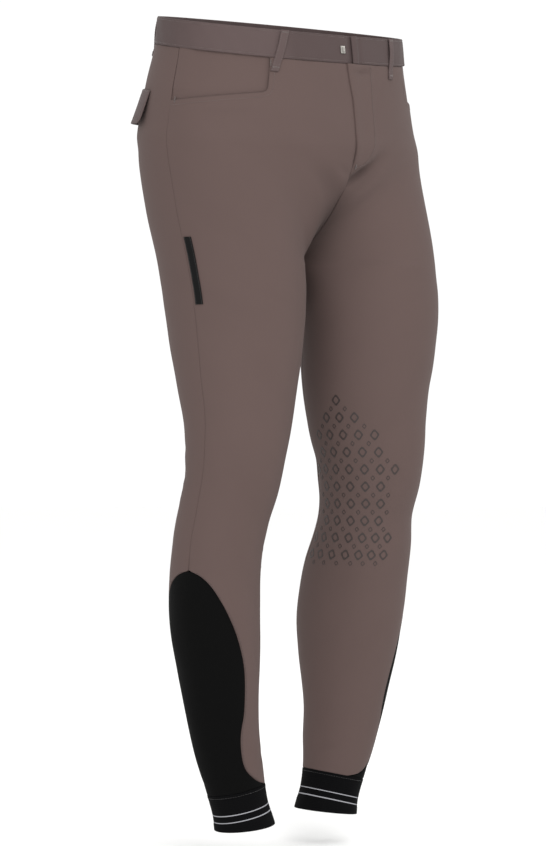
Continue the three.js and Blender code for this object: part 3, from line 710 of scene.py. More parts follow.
def mouth_rows(drops, shares):
    """Drops of a leg front's rows, led along the lower edge of the pocket's mouth."""
    drops = np.broadcast_to(drops[:, None], shares.shape)
    foot = mouth_foot(shares)
    above = PANEL_TOP + (drops - PANEL_TOP) * (foot - PANEL_TOP) / (POCKET_CORNER - PANEL_TOP)
    below = foot + (drops - POCKET_CORNER) * (FLAP_FOOT - foot) / (FLAP_FOOT - POCKET_CORNER)
    led = np.where(drops <= POCKET_CORNER, above, below)
    return np.where(drops < FLAP_FOOT, led, drops)


def side_depth(drop):
    """How deep a leg panel's outer seam shows: flat by the pocket, shallow below it, deep round the calf."""
    return mix(mix(0.06, FLAT_SEAM, ramp(drop, 70, 95)), 1, ramp(drop, CALF_TOP - 20, CALF_TOP))


def near_edges(sink_rows, sink_columns, first=1.0, last=1.0):
    """The greater sink of a place's row and column, with its first and last seams as deep as said."""
    columns = np.broadcast_to(sink_columns, (len(sink_rows), len(sink_columns))).copy()
    ends = len(SEAM_ROLL["inset"])
    columns[:, :ends] *= np.reshape(first, (-1, 1))
    columns[:, -ends:] *= np.reshape(last, (-1, 1))
    return np.maximum(sink_rows[:, None], columns)


def seam_shadow(side, drops, shares, *lines):
    """Painted shadow along seam lines: 1 on a seam line and 0 a few millimetres away, and as faint as the
    side seam is flat.
    """
    close = np.zeros(shares.shape)
    pace = skin(side, drops, shares)[2]
    for line in lines:
        at = line(drops)
        strength = np.where((at > 0.1) & (at < 0.9), side_depth(drops), 1.0)
        close = np.maximum(close, strength * np.exp(-np.abs(shares - at) * pace / 1.1))
    return close


# How deep the flat side seam shows, against a seam that rolls in fully.
FLAT_SEAM = 0.35


def leg_drops():
    calf_rows = CALF["drop"][1:-1]
    extra = np.concatenate([CORNER_ROWS, [626.8, 630, 636, 646.5], calf_rows])
    return rows_down(PANEL_TOP, CUFF_TOP, 3.0, extra)


def leg_nodes(panel, name):
    return [f"{panel}_{name}_{length}" for length in ("hip", "thigh", "calf")]


def make_front(side, name):
    drops, row_sink = leg_drops()
    first_edge = fly_edge if side == LEFT else front_edge
    shares, column_sink, column = front_shares(side, drops, first_edge)
    at = mouth_rows(drops, shares)
    points, out, pace = skin(side, at, shares)
    sink = near_edges(row_sink, column_sink, last=side_depth(drops))
    height = relief(side, at, shares)
    least = SEAM_CLOSED
    to_mouth = mouth_distance(side, at, shares)
    hem = 0.3 * (1 - ramp(to_mouth, MOUTH_STITCH - 0.6, MOUTH_STITCH + 0.9))
    lip = 0.75 * (1 - ramp(to_mouth, -0.1, 1.3))
    by_mouth = (at < POCKET_SIDE + 12) & (shares > POCKET_SHARE - 0.05)
    height = height + np.where(by_mouth, hem - lip, 0)
    if side == LEFT:
        to_fly = shares * pace
        above_foot = 1 - ramp(at, FLY_FOOT - 10, FLY_FOOT)
        doubled = 0.5 * (1 - ramp(to_fly, FLY_WIDTH - 3, FLY_WIDTH + 1))
        height = height + above_foot * (doubled + 1.4 * (1 - ramp(to_fly, 0, 14)))
        least = least - read(FLY_LAP, "lap", drops)[:, None] * 1.5
    kept = np.ones((len(drops) - 1, shares.shape[1] - 1), bool)
    kept[: int(np.flatnonzero(np.isclose(drops, POCKET_CORNER))[0]), column:] = False
    shadow = seam_shadow(side, at, shares, first_edge, outer_edge("front"))
    shadow = np.maximum(shadow, fold_shade(side, at, shares))
    # Painted shadow along the edge of the pocket's mouth.
    shadow = np.maximum(shadow, np.where(by_mouth, np.exp(-np.abs(to_mouth) / 0.8), 0))
    high = height - sink
    low = high - CLOTH
    piece = wall(f"leg_front_{name}", points, out, high, low, leg_twill(), kept,
                 near=shadow, half=side, least=least)
    finish_sheet(piece, leg_nodes("front", name))
    return piece


def make_back(side, name):
    drops, row_sink = leg_drops()
    inner = np.linspace(0, 1, 80)[1:-1]
    shares, column_sink = shares_across(side, drops, outer_edge("back"), back_edge, inner)
    at, shares = grid(drops, shares)
    points, out, _ = skin(side, at, shares)
    high = relief(side, at, shares) - near_edges(row_sink, column_sink, first=side_depth(drops))
    shadow = seam_shadow(side, at, shares, back_edge, outer_edge("back"))
    shadow = np.maximum(shadow, fold_shade(side, at, shares))
    piece = wall(f"leg_back_{name}", points, out, high, high - CLOTH, leg_twill(), near=shadow, half=side)
    finish_sheet(piece, leg_nodes("back", name))
    return piece


def make_calf(side, name):
    extra = np.concatenate([CALF["drop"][2:-1], [630, 636]])
    drops, row_sink = rows_down(CALF_TOP + 1.2, CUFF_TOP, 3.0, extra)
    inner = np.linspace(0, 1, 62)[1:-1]
    shares, column_sink = shares_across(side, drops, calf_edge("front"), calf_edge("back"), inner)
    at, shares = grid(drops, shares)
    points, out, _ = skin(side, at, shares)
    high = relief(side, at, shares) - near_edges(row_sink, column_sink)
    shadow = seam_shadow(side, at, shares, calf_edge("front"), calf_edge("back"))
    piece = wall(f"calf_stretch_{name}", points, out, high, high - CLOTH, black_jersey(), near=shadow)
    finish_sheet(piece, [f"calf_panel_{name}"])
    return piece


def make_cuff(side, name):
    top = CUFF_TOP + SEAM_CLOSED
    drops = np.concatenate([top + np.array([0, 0.2, 0.5, 0.9]), np.arange(top + 1.5, HEM - 1.4, 0.55),
                            HEM - np.array([1.0, 0.6, 0.25, 0.05, 0])])
    at, shares = grid(drops, np.arange(CUFF_COLUMNS) / CUFF_COLUMNS)
    points, out, _ = skin(side, at, shares)
    from_edge = np.minimum(at - top, HEM - at)
    courses = COURSE_HEIGHT * np.cos(2 * np.pi * (at - CUFF_TOP) / COURSE) * ramp(from_edge, 0.5, 2)
    turned = 0.35 * (1 - ramp(HEM - at, 10, 12))
    draw = round_edges(from_edge, CLOTH + CUFF_PROUD)
    height = relief(side, at, shares) * 0.6
    high = CUFF_PROUD + height + courses + turned - draw - 0.35
    low = -CLOTH + height + draw
    # Painted shade on the cuff, darkest just below its top seam.
    shadow = np.exp(-(at - top) / 1.1)
    piece = wall(f"ankle_cuff_{name}", points, out, high, low, cuff_elastic(), closed=True, near=shadow)
    finish_sheet(piece, [f"cuff_{name}"])
    return piece


def make_hip_facing(side, name):
    drops = np.concatenate([[PANEL_TOP], np.arange(19, 96, 3)])
    past_seam = np.array([-0.015, -0.01, -0.006, -0.003, -0.0015, -0.0008, 0.0004, 0.003, 0.01, 0.02])
    shares = np.concatenate([np.linspace(POCKET_SHARE - 0.04, 0.485, 46), SIDE_SHARE + past_seam])
    at, shares = grid(drops, shares)
    points, out, _ = skin(side, at, shares)
    seated = ramp(shares, 0.43, 0.495) * (1 - ramp(shares, SIDE_SHARE - 0.0016, SIDE_SHARE + 0.0004))
    seated = seated * (1 - ramp(at, mouth_foot(shares) - 16, mouth_foot(shares) - 5))
    high = -UNDER_LAYER - 0.15 + 0.6 * np.minimum(relief(side, at, shares), 0) + 1.6 * seated
    # Painted shade on the facing, darkest under the edge of the pocket's mouth.
    near = np.exp(-np.abs(mouth_distance(side, at, shares)) / 2.2)
    piece = wall(f"pocket_facing_{name}", points, out, high, high - TAPE, leg_twill(), near=near)
    finish_sheet(piece, [f"hip_facing_{name}"])
    return piece


def make_fly_shield():
    drops = np.linspace(PANEL_TOP, FLY_FOOT, 50)
    at, shares = grid(drops, np.linspace(0.0005, 0.072, 16))
    points, out, _ = skin(LEFT, at, shares)
    high = -UNDER_LAYER + np.minimum(relief(LEFT, at, shares), 0)
    piece = wall("fly_underlap", points, out, high, high - TAPE, leg_twill(), half=LEFT)
    finish_sheet(piece, ["fly_shield"])
    return piece


# Rows of the waistband, close together at its folded edges.
BAND_DROPS = np.concatenate([
    BAND_TOP + np.array([0, 0.15, 0.4, 0.8, 1.3]), np.arange(-13.6, 14, 1.6),
    BAND_FOOT - np.array([1.3, 0.8, 0.4, 0.15, 0]),
])
BAND_STITCH = (2.6, 29.6)
BAND_LENGTH = 460
BAND_INSET = SEAM_CLOSED / BAND_LENGTH


def band_levels(side, at, shares):
    """Outer and inner faces of the band: a slack middle, round folded edges and drawn stitch lines."""
    from_top = at - BAND_TOP
    from_edge = np.minimum(from_top, BAND_FOOT - at)
    draw = round_edges(from_edge, CLOTH + BAND_PROUD)
    slack = 0.25 * np.sin(np.pi * np.clip(from_top / 32, 0, 1)) * np.sin(shares * 41 + side)
    slack = slack + 0.18 * np.sin(shares * 97 + at / 7)
    if side == LEFT:
        slack = slack + 0.9 * np.exp(-(((shares - 0.007) / 0.005) ** 2))
        slack = slack - 1.3 * np.exp(-(((shares - 0.018) / 0.0045) ** 2))
    drawn = 0.0
    for line in BAND_STITCH:
        pucker = 0.22 + 0.08 * np.sin(shares * 260 + line)
        drawn = drawn + pucker * np.exp(-(((from_top - line) / 0.8) ** 2))
    return BAND_PROUD + slack - drawn - draw, -CLOTH + slack + draw


def band_painted_shade(side, shares):
    """Painted shade on the band: on the right half darker in front and again behind the side, on the left
    half an even shade all along.
    """
    front = 1 - ramp(shares, 0.15, 0.2)
    behind = ramp(shares, 0.4, 0.55)
    return np.maximum(front, 0.7 * behind) if side == RIGHT else np.full(np.shape(shares), 0.9)


def make_left_band():
    shares = np.concatenate([
        [BAND_INSET, 0.0008, 0.0016], np.linspace(0.003, 0.03, 12), np.linspace(0.035, 0.994, 185),
        [0.998, 1 - BAND_INSET],
    ])
    at, shares = grid(BAND_DROPS, shares)
    points, out, pace = skin(LEFT, at, shares)
    high, low = band_levels(LEFT, at, shares)
    fold = round_edges(shares * pace, CLOTH + BAND_PROUD)
    # tone is the band's painted shade, which the band shader darkens the colour by.
    tone = band_painted_shade(LEFT, shares)
    piece = wall("waistband_over", points, out, high - fold, low + fold, band_twill(), near=tone, half=LEFT)
    finish_sheet(piece, ["waistband_left"])
    return piece


def make_right_band():
    """The under half steps inwards before the front edge, and goes on behind the over half."""
    step_start, step_end = 0.016, 0.0013
    to_step = np.linspace(step_start, step_end, 8)
    right = np.concatenate([[1 - BAND_INSET, 0.998], np.linspace(0.994, 0.02, 186), to_step])
    left = np.linspace(0.006, 0.05, 10)
    places = []
    for side, shares in ((RIGHT, right), (LEFT, left)):
        at, shares = grid(BAND_DROPS, shares)
        points, out, _ = skin(side, at, shares)
        high, low = band_levels(side, at, shares)
        under = 1 - ramp(shares, step_end, step_start) if side == RIGHT else np.ones(shares.shape)
        down = under * (UNDER_LAYER + BAND_PROUD + 0.3)
        # The last part is the band's painted shade.
        places.append((points, out, high - down, low - down, band_painted_shade(side, shares)))
    points, out, high, low, tone = (np.concatenate(parts, axis=1) for parts in zip(*places))
    piece = wall("waistband_under", points, out, high, low, band_twill(), near=tone)
    finish_sheet(piece, ["waistband_right"])
    return piece


# Belt loops, as the solids have them: standing off the band between two sewn ends.
LOOP_STANDING = table("drop low", (
    (-16, 1.3), (-8, 2.3), (0, 2.7), (8, 2.3), (16, 1.3), (23, 0.3), (32, 0.3),
))
LOOP_CLOTH = 1.2
LOOP_FOOT = 32
LOOP_WIDTH = 10
LOOPS = (
    ("front_right", RIGHT, 0.182, 0.212), ("side_right", RIGHT, 0.76, 0.745),
    ("front_left", LEFT, 0.142, 0.125), ("side_left", LEFT, 0.76, 0.745), ("back", LEFT, 1, 1),
)


def loop_places(side, top, foot, drops, across):
    """Places on a belt loop's line, some millimetres to its side."""
    share = mix(top, foot, (drops - BAND_TOP) / (LOOP_FOOT - BAND_TOP))
    pace = skin(side, drops, share)[2]
    return share + across / pace


def make_loop(name, side, top, foot):
    drops = np.concatenate([[BAND_TOP, -15.7, -15.1], np.linspace(-14, 30, 34), [31, 31.6, LOOP_FOOT]])
    across = LOOP_WIDTH * np.array([-0.5, -0.49, -0.46, -0.4, -0.25, 0, 0.25, 0.4, 0.46, 0.49, 0.5])
    at = np.broadcast_to(drops[:, None], (len(drops), len(across)))
    shares = loop_places(side, top, foot, at, across[None, :])
    points, out, _ = skin(side, at, shares)
    low = read(LOOP_STANDING, "low", at)
    from_end = np.minimum(at - BAND_TOP, LOOP_FOOT - at)
    from_side = LOOP_WIDTH / 2 - np.abs(across)[None, :]
    draw = round_edges(np.minimum(from_end, from_side), LOOP_CLOTH)
    folded = 0.5 * ramp(at, 24, 26.5) + 0.35 * (1 - ramp(at, -12, -9))
    groove = 0.18 * np.exp(-(((from_side - 1.6) / 0.5) ** 2)) * ramp(from_end, 1, 3)
    bow = 0.25 * np.cos(np.pi * across / LOOP_WIDTH)[None, :]
    high = low + LOOP_CLOTH + folded + bow - groove - draw
    piece = wall(f"loop_{name}", points, out, high, low + draw, band_twill())
    finish_sheet(piece, [f"belt_loop_{name}"])
    return piece


# Back pocket flaps: sewn down along the top, standing off at the lower edge, with round lower corners.
FLAP_STANDING = table("drop low", ((FLAP_TOP, 0.3), (90, 3.4), (FLAP_FOOT, 7)))
FLAP_CLOTH = 2
FLAP_RADIUS = 7
FLAP_STITCH = 5


def flap_shares(side, at, t):
    """Shares across a flap, drawn in where its lower corners round off."""
    low, high = FLAP_SHARES
    t_mm = np.clip((at - FLAP_FOOT + FLAP_RADIUS) / FLAP_RADIUS, 0, 1)
    draw = FLAP_RADIUS * (1 - np.sqrt(np.maximum(0, 1 - t_mm**2)))
    pace = skin(side, 90.0, (low + high) / 2)[2]
    return mix(low + draw / pace, high - draw / pace, t)


def make_flap(side, name):
    drops = np.concatenate([FLAP_TOP + np.array([0, 0.4, 1.0]), np.arange(72.5, 103, 2),
                            FLAP_FOOT - FLAP_RADIUS * (1 - np.sin(np.linspace(0.05, 1, 9) * np.pi / 2))])
    t = np.concatenate([[0, 0.003, 0.009, 0.018], np.linspace(0.035, 0.965, 40), [0.982, 0.991, 0.997, 1]])
    at = np.broadcast_to(drops[:, None], (len(drops), len(t)))
    shares = flap_shares(side, at, t[None, :])
    points, out, pace = skin(side, at, shares)
    width = (flap_shares(side, at, 1.0) - flap_shares(side, at, 0.0)) * pace
    from_end = np.minimum(at - FLAP_TOP, FLAP_FOOT - at)
    from_edge = np.minimum(np.minimum(t, 1 - t)[None, :] * width, from_end)
    draw = round_edges(from_edge, FLAP_CLOTH)
    groove = 0.2 * np.exp(-(((from_edge - FLAP_STITCH) / 0.7) ** 2))
    wave = 0.3 * np.sin(t * 9 + side)[None, :] * ramp(at, 80, 110)
    low = read(FLAP_STANDING, "low", at) + relief(side, at, shares) + wave
    high = low + FLAP_CLOTH - groove - draw
    piece = wall(f"pocket_flap_{name}", points, out, high, low + draw, band_twill())
    finish_sheet(piece, [f"back_pocket_flap_{name}"])
    return piece


def label_share(drop, across):
    """Shares across the thigh tape, some millimetres from the edge by the side seam."""
    seam = side_seam(drop)
    pace = skin(RIGHT, drop, seam)[2]
    return seam - (LABEL_TO_SEAM + across) / pace


def make_label():
    drops = np.concatenate([[LABEL_TOP, LABEL_TOP + 0.3], np.linspace(LABEL_TOP + 1, LABEL_FOOT - 1, 40),
                            [LABEL_FOOT - 0.3, LABEL_FOOT]])
    across = np.array([0, 0.15, 0.5, 1.2, 3, 5, 7, 8.8, 9.5, 9.85, 10])
    at = np.broadcast_to(drops[:, None], (len(drops), len(across)))
    shares = label_share(at, across[None, :])
    points, out, _ = skin(RIGHT, at, shares)
    from_side = np.minimum(across, LABEL_WIDTH - across)[None, :]
    from_edge = np.minimum(from_side, np.minimum(at - LABEL_TOP, LABEL_FOOT - at))
    draw = round_edges(from_edge, TAPE)
    height = relief(RIGHT, at, shares)
    dip = 0.12 * np.exp(-(((from_edge - 1.2) / 0.4) ** 2))
    high = height + SEAM_GAP + TAPE - draw - dip
    piece = wall("thigh_tape", points, out, high, height + SEAM_GAP - 0.1 + draw, label_tape())
    finish_sheet(piece, ["side_label"])
    return piece


# The hook bar of the band's closure.
HOOK_DROP = 1
HOOK_SHARE = 0.019
HOOK_WIDTH = 5
HOOK_HEIGHT = 9
HOOK_THICK = 1.2
HALF_WAIST = 440


def make_hook():
    """A pressed bar with a raised middle and two sewn feet."""
    down = np.concatenate([[0, 0.1, 0.35, 0.8], np.linspace(1.5, 7.5, 13), [8.2, 8.65, 8.9, 9]])
    across = np.concatenate([[0, 0.1, 0.35, 0.8], np.linspace(1.4, 3.6, 6), [4.2, 4.65, 4.9, 5]])
    at = np.broadcast_to((HOOK_DROP - HOOK_HEIGHT / 2 + down)[:, None], (len(down), len(across)))
    shares = HOOK_SHARE + across[None, :] / HALF_WAIST + np.zeros(at.shape)
    points, out, _ = skin(RIGHT, at, shares)
    from_side = np.minimum(across, HOOK_WIDTH - across)[None, :]
    from_end = np.minimum(down, HOOK_HEIGHT - down)[:, None]
    draw = round_edges(np.minimum(from_side, from_end), HOOK_THICK)
    bar = 0.55 * np.exp(-(((across - HOOK_WIDTH / 2) / 0.9) ** 2))[None, :] * ramp(from_end, 1.2, 2.4)
    base = BAND_PROUD + SEAM_GAP
    piece = wall("hook_plate", points, out, base + HOOK_THICK + bar - draw, base + draw, hook_steel())
    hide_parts("waist_hook")
    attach(piece, "root")
    return piece


def group_input(tree, name, kind, default=None):
    socket = tree.interface.new_socket(name, in_out="INPUT", socket_type=kind)
    if default is not None:
        socket.default_value = default
    return socket


def new_tree(name, inputs):
    """A node tree from geometry to geometry with named inputs, and its two end nodes."""
    tree = bpy.data.node_groups.new(name, "GeometryNodeTree")
    group_input(tree, "Geometry", "NodeSocketGeometry")
    for label, kind, default in inputs:
        group_input(tree, label, kind, default)
    tree.interface.new_socket("Geometry", in_out="OUTPUT", socket_type="NodeSocketGeometry")
    return tree, add(tree, "NodeGroupInput").outputs, add(tree, "NodeGroupOutput")


def stitch_tree():
    """Thread lies along the points of a path, each stitch in the direction that its point gives."""
    tree, given, end = new_tree("Stitches on a seam", (
        ("Pitch", "NodeSocketFloat", 0.003), ("Length", "NodeSocketFloat", 0.0022),
        ("Thread", "NodeSocketFloat", 0.0005), ("Material", "NodeSocketMaterial", None),
    ))
    path = add(tree, "GeometryNodeMeshToCurve", {"Mesh": given["Geometry"]})
    spaced = add(tree, "GeometryNodeResampleCurve", {
        "Curve": path.outputs["Curve"], "Length": given["Pitch"],
    }, mode="LENGTH")
    lay = add(tree, "GeometryNodeInputNamedAttribute", {"Name": "lay"}, data_type="FLOAT_VECTOR")
    turn = add(tree, "FunctionNodeAlignRotationToVector", {"Vector": lay.outputs["Attribute"]}, axis="Z")
    ball = add(tree, "GeometryNodeMeshUVSphere", {"Segments": 6, "Rings": 4, "Radius": 0.5})
    size = add(tree, "ShaderNodeCombineXYZ", {
        "X": given["Thread"], "Y": given["Thread"], "Z": given["Length"],
    })
    stitch = add(tree, "GeometryNodeTransform", {"Geometry": ball.outputs["Mesh"], "Scale": size.outputs[0]})
    placed = add(tree, "GeometryNodeInstanceOnPoints", {
        "Points": spaced.outputs["Curve"], "Instance": stitch.outputs[0], "Rotation": turn.outputs[0],
    })
    real = add(tree, "GeometryNodeRealizeInstances", {"Geometry": placed.outputs[0]})
    smooth = add(tree, "GeometryNodeSetShadeSmooth", {"Geometry": real.outputs[0]})
    cover = add(tree, "GeometryNodeSetMaterial", {
        "Geometry": smooth.outputs[0], "Material": given["Material"],
    })
    tree.links.new(cover.outputs[0], end.inputs[0])
    return tree


def grip_tree():
    """Diamond rings printed on the cloth: laid at each point, pressed on to the cloth and raised a little."""
    tree, given, end = new_tree("Grip print", (
        ("Cloth", "NodeSocketObject", None), ("Width", "NodeSocketFloat", 0.010),
        ("Height", "NodeSocketFloat", 0.014), ("Stroke", "NodeSocketFloat", 0.0016),
        ("Rise", "NodeSocketFloat", 0.0003), ("Material", "NodeSocketMaterial", None),
    ))
    inset = add(tree, "ShaderNodeMath", {0: given["Stroke"], 1: 2.6}, operation="MULTIPLY").outputs[0]
    rings = []
    for less in (None, inset):
        sizes = []
        for name in ("Width", "Height"):
            size = given[name]
            if less:
                size = add(tree, "ShaderNodeMath", {0: size, 1: less}, operation="SUBTRACT").outputs[0]
            sizes.append(size)
        half = add(tree, "ShaderNodeMath", {0: sizes[1], 1: 0.5}, operation="MULTIPLY").outputs[0]
        kite = add(tree, "GeometryNodeCurvePrimitiveQuadrilateral", {
            "Width": sizes[0], "Bottom Height": half, "Top Height": half,
        }, mode="KITE")
        soft = add(tree, "GeometryNodeFilletCurve", {
            "Curve": kite.outputs[0], "Radius": given["Stroke"], "Count": 3,
        }, mode="POLY")
        even = add(tree, "GeometryNodeResampleCurve", {"Curve": soft.outputs[0], "Count": 28})
        rings.append(even.outputs[0])
    both = add(tree, "GeometryNodeJoinGeometry")
    for ring in rings:
        tree.links.new(ring, both.inputs[0])
    face = add(tree, "GeometryNodeFillCurve", {"Curve": both.outputs[0]}, mode="TRIANGLES")
    out = add(tree, "GeometryNodeInputNamedAttribute", {"Name": "out"}, data_type="FLOAT_VECTOR")
    up = add(tree, "GeometryNodeInputNamedAttribute", {"Name": "lay"}, data_type="FLOAT_VECTOR")
    facing = add(tree, "FunctionNodeAlignRotationToVector", {"Vector": out.outputs["Attribute"]}, axis="Z")
    upright = add(tree, "FunctionNodeAlignRotationToVector", {
        "Rotation": facing.outputs[0], "Vector": up.outputs["Attribute"],
    }, axis="Y", pivot_axis="Z")
    placed = add(tree, "GeometryNodeInstanceOnPoints", {
        "Points": given["Geometry"], "Instance": face.outputs[0], "Rotation": upright.outputs[0],
    })
    real = add(tree, "GeometryNodeRealizeInstances", {"Geometry": placed.outputs[0]})
    cloth = add(tree, "GeometryNodeObjectInfo", {"Object": given["Cloth"]})
    nearest = add(tree, "GeometryNodeProximity", {0: cloth.outputs["Geometry"]}, target_element="FACES")
    pressed = add(tree, "GeometryNodeSetPosition", {
        "Geometry": real.outputs[0], "Position": nearest.outputs["Position"],
    })
    raised = add(tree, "GeometryNodeExtrudeMesh", {
        "Mesh": pressed.outputs[0], "Offset Scale": given["Rise"], "Individual": False,
    }, mode="FACES")
    under = add(tree, "GeometryNodeFlipFaces", {"Mesh": pressed.outputs[0]})
    closed = add(tree, "GeometryNodeJoinGeometry")
    tree.links.new(raised.outputs["Mesh"], closed.inputs[0])
    tree.links.new(under.outputs[0], closed.inputs[0])
    merged = add(tree, "GeometryNodeMergeByDistance", {"Geometry": closed.outputs[0], "Distance": 0.00001})
    cover = add(tree, "GeometryNodeSetMaterial", {
        "Geometry": merged.outputs[0], "Material": given["Material"],
    })
    tree.links.new(cover.outputs[0], end.inputs[0])
    return tree


def grow(name, points, edges, vectors, tree, inputs):
    """Runs a node tree on seed points, in millimetres, and keeps the result as a plain mesh."""
    mesh = bpy.data.meshes.new(name)
    mesh.from_pydata((np.asarray(points) * MM).tolist(), edges, [])
    for label, values in vectors.items():
        kept = mesh.attributes.new(label, "FLOAT_VECTOR", "POINT")
        kept.data.foreach_set("vector", np.asarray(values).ravel())
    piece = new_object(name, mesh)
    modifier = piece.modifiers.new("grow", "NODES")
    modifier.node_group = tree
    for item in tree.interface.items_tree:
        if item.in_out == "INPUT" and item.name in inputs:
            modifier[item.identifier] = inputs[item.name]
    bpy.context.view_layer.update()
    graph = bpy.context.evaluated_depsgraph_get()
    grown = bpy.data.meshes.new_from_object(piece.evaluated_get(graph), depsgraph=graph)
    piece.modifiers.clear()
    piece.data = grown
    bpy.data.meshes.remove(mesh)
    if not len(grown.polygons):
        raise RuntimeError(f"{name}: the node tree made nothing")
    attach(piece, "root")
    return piece


class Paths:
    """Lines of places to be sewn, kept as points, edges and the direction of each stitch."""

    def __init__(self):
        self.points, self.edges, self.lay = [], [], []

    def run(self, side, drops, shares, level, half_thread=0.1, across=False):
        """Adds a line at a level above the cloth. across lays the stitches over it, as in a bar tack."""
        drops, shares = np.broadcast_arrays(np.asarray(drops, float), np.asarray(shares, float))
        points, out, _ = skin(side, drops, shares)
        points = points + out * (np.asarray(level) + half_thread)[..., None]
        along = np.gradient(points, axis=0)
        along = along / np.linalg.norm(along, axis=1, keepdims=True)
        lay = np.cross(out, along) if across else along
        start = len(self.points)
        self.points.extend(points.tolist())
        self.lay.extend(lay.tolist())
        self.edges.extend((start + k, start + k + 1) for k in range(len(points) - 1))


FLY_WIDTH = 33


def fly_places():
    """The stitch line of the fly: straight down, then curving in to the front edge."""
    pace = skin(LEFT, 80.0, 0.03)[2]
    straight = np.linspace(PANEL_TOP + 1, 112, 30)
    turn = np.linspace(0, np.pi / 2, 18)[1:]
    drops = np.concatenate([straight, 112 + 38 * np.sin(turn)])
    curved = (FLY_WIDTH - 2.0) - (FLY_WIDTH - 5) * (1 - np.cos(turn))
    across = np.concatenate([np.full(30, FLY_WIDTH - 2.0), curved])
    return drops, across / pace


def mouth_places(side):
    """The topstitching round the pocket's mouth: down its front, round the corner and along its foot."""
    pace = skin(side, 50.0, POCKET_SHARE)[2]
    radius = MOUTH_RADIUS + MOUTH_STITCH
    down = np.linspace(PANEL_TOP + 1, POCKET_CORNER - MOUTH_RADIUS, 14)
    turn = np.linspace(0, np.pi / 2, 12)[1:-1]
    corner_drop = POCKET_CORNER - MOUTH_RADIUS
    corner_share = POCKET_SHARE + MOUTH_RADIUS / pace
    drops = [down, corner_drop + radius * np.sin(turn)]
    shares = [np.full(14, POCKET_SHARE - MOUTH_STITCH / pace), corner_share - radius * np.cos(turn) / pace]
    foot = np.linspace(corner_share, SIDE_SHARE - 0.004, 40)
    drops.append(mouth_foot(foot) + MOUTH_STITCH)
    shares.append(foot)
    return np.concatenate(drops), np.concatenate(shares)


def leg_level(side, drops, shares):
    return relief(side, np.asarray(drops, float), np.asarray(shares, float))


def sew_taupe():
    paths, tacks = Paths(), Paths()
    for side, _ in SIDES:
        start = 0.02 if side == RIGHT else 0.004
        shares = np.linspace(start, 0.996, 220)
        for line in BAND_STITCH:
            paths.run(side, BAND_TOP + line, shares, BAND_PROUD - 0.2)
        drops, shares = mouth_places(side)
        paths.run(side, drops, shares, leg_level(side, drops, shares) + 0.1)
        for share, drop in ((POCKET_SHARE - 0.003, 19), (SIDE_SHARE - 0.012, 74)):
            drops = np.linspace(drop, drop + 7, 8)
            tacks.run(side, drops, share, leg_level(side, drops, np.full(8, share)) + 0.3, across=True)
        inside = FLAP_STITCH / ((FLAP_SHARES[1] - FLAP_SHARES[0]) * 500)
        drops = np.linspace(FLAP_TOP + 1.5, FLAP_FOOT - FLAP_STITCH, 20)
        for t in (inside, 1 - inside):
            shares = flap_shares(side, drops, t)
            level = read(FLAP_STANDING, "low", drops) + leg_level(side, drops, shares) + FLAP_CLOTH - 0.15
            paths.run(side, drops, shares, level)
        for drop in (FLAP_TOP + 1.5, FLAP_FOOT - FLAP_STITCH):
            shares = flap_shares(side, np.full(50, float(drop)), np.linspace(inside, 1 - inside, 50))
            level = read(FLAP_STANDING, "low", drop) + leg_level(side, drop, shares) + FLAP_CLOTH - 0.15
            paths.run(side, drop, shares, level)
    drops, shares = fly_places()
    paths.run(LEFT, drops, shares, leg_level(LEFT, drops, shares) + 0.8)
    drops = np.linspace(FLY_FOOT - 8, FLY_FOOT + 1, 10)
    tacks.run(LEFT, drops, 0.006, leg_level(LEFT, drops, np.full(10, 0.006)) + 0.6, across=True)
    for _, side, top, foot in LOOPS:
        drops = np.linspace(BAND_TOP + 2, 30, 26)
        for across in (-LOOP_WIDTH / 2 + 1.6, LOOP_WIDTH / 2 - 1.6):
            level = read(LOOP_STANDING, "low", drops) + LOOP_CLOTH + 0.05
            shares = loop_places(side, top, foot, drops, across)
            paths.run(side, drops, shares, level + 0.5 * ramp(drops, 24, 26.5))
        for drop in (-13.0, 27.5):
            across = np.linspace(-LOOP_WIDTH / 2 + 1, LOOP_WIDTH / 2 - 1, 10)
            shares = loop_places(side, top, foot, np.full(10, drop), across)
            level = read(LOOP_STANDING, "low", drop) + LOOP_CLOTH + (0.6 if drop > 0 else 0.4)
            tacks.run(side, drop, shares, level, across=True)
    return paths, tacks


def sew_black():
    paths = Paths()
    for side, _ in SIDES:
        for name, way in (("front", -1), ("back", 1)):
            drops = np.concatenate([CALF["drop"][1:6], np.linspace(680, CUFF_TOP - 8, 90)])
            edge = calf_edge(name)
            reach = slant(side, drops, edge) / skin(side, drops, edge(drops))[2]
            shares = edge(drops) + way * 1.7 * reach
            paths.run(side, drops, shares, leg_level(side, drops, shares))
        drop, shares = CUFF_TOP + 3.2, np.linspace(0, 1, 90)
        paths.run(side, drop, shares, 0.6 * leg_level(side, drop, shares) + CUFF_PROUD - 0.3)
    for across in (1.2, LABEL_WIDTH - 1.2):
        drops = np.linspace(LABEL_TOP + 1.2, LABEL_FOOT - 1.2, 40)
        shares = label_share(drops, across)
        paths.run(RIGHT, drops, shares, leg_level(RIGHT, drops, shares) + SEAM_GAP + TAPE - 0.12)
    return paths


# The grip print on the inside of each knee, as angles round the leg: an upright house shape.
GRIP_TOP = 427
GRIP_SHOULDER = 500
GRIP_FOOT = 632
GRIP_MIDDLE = -97
GRIP_HALF = 50


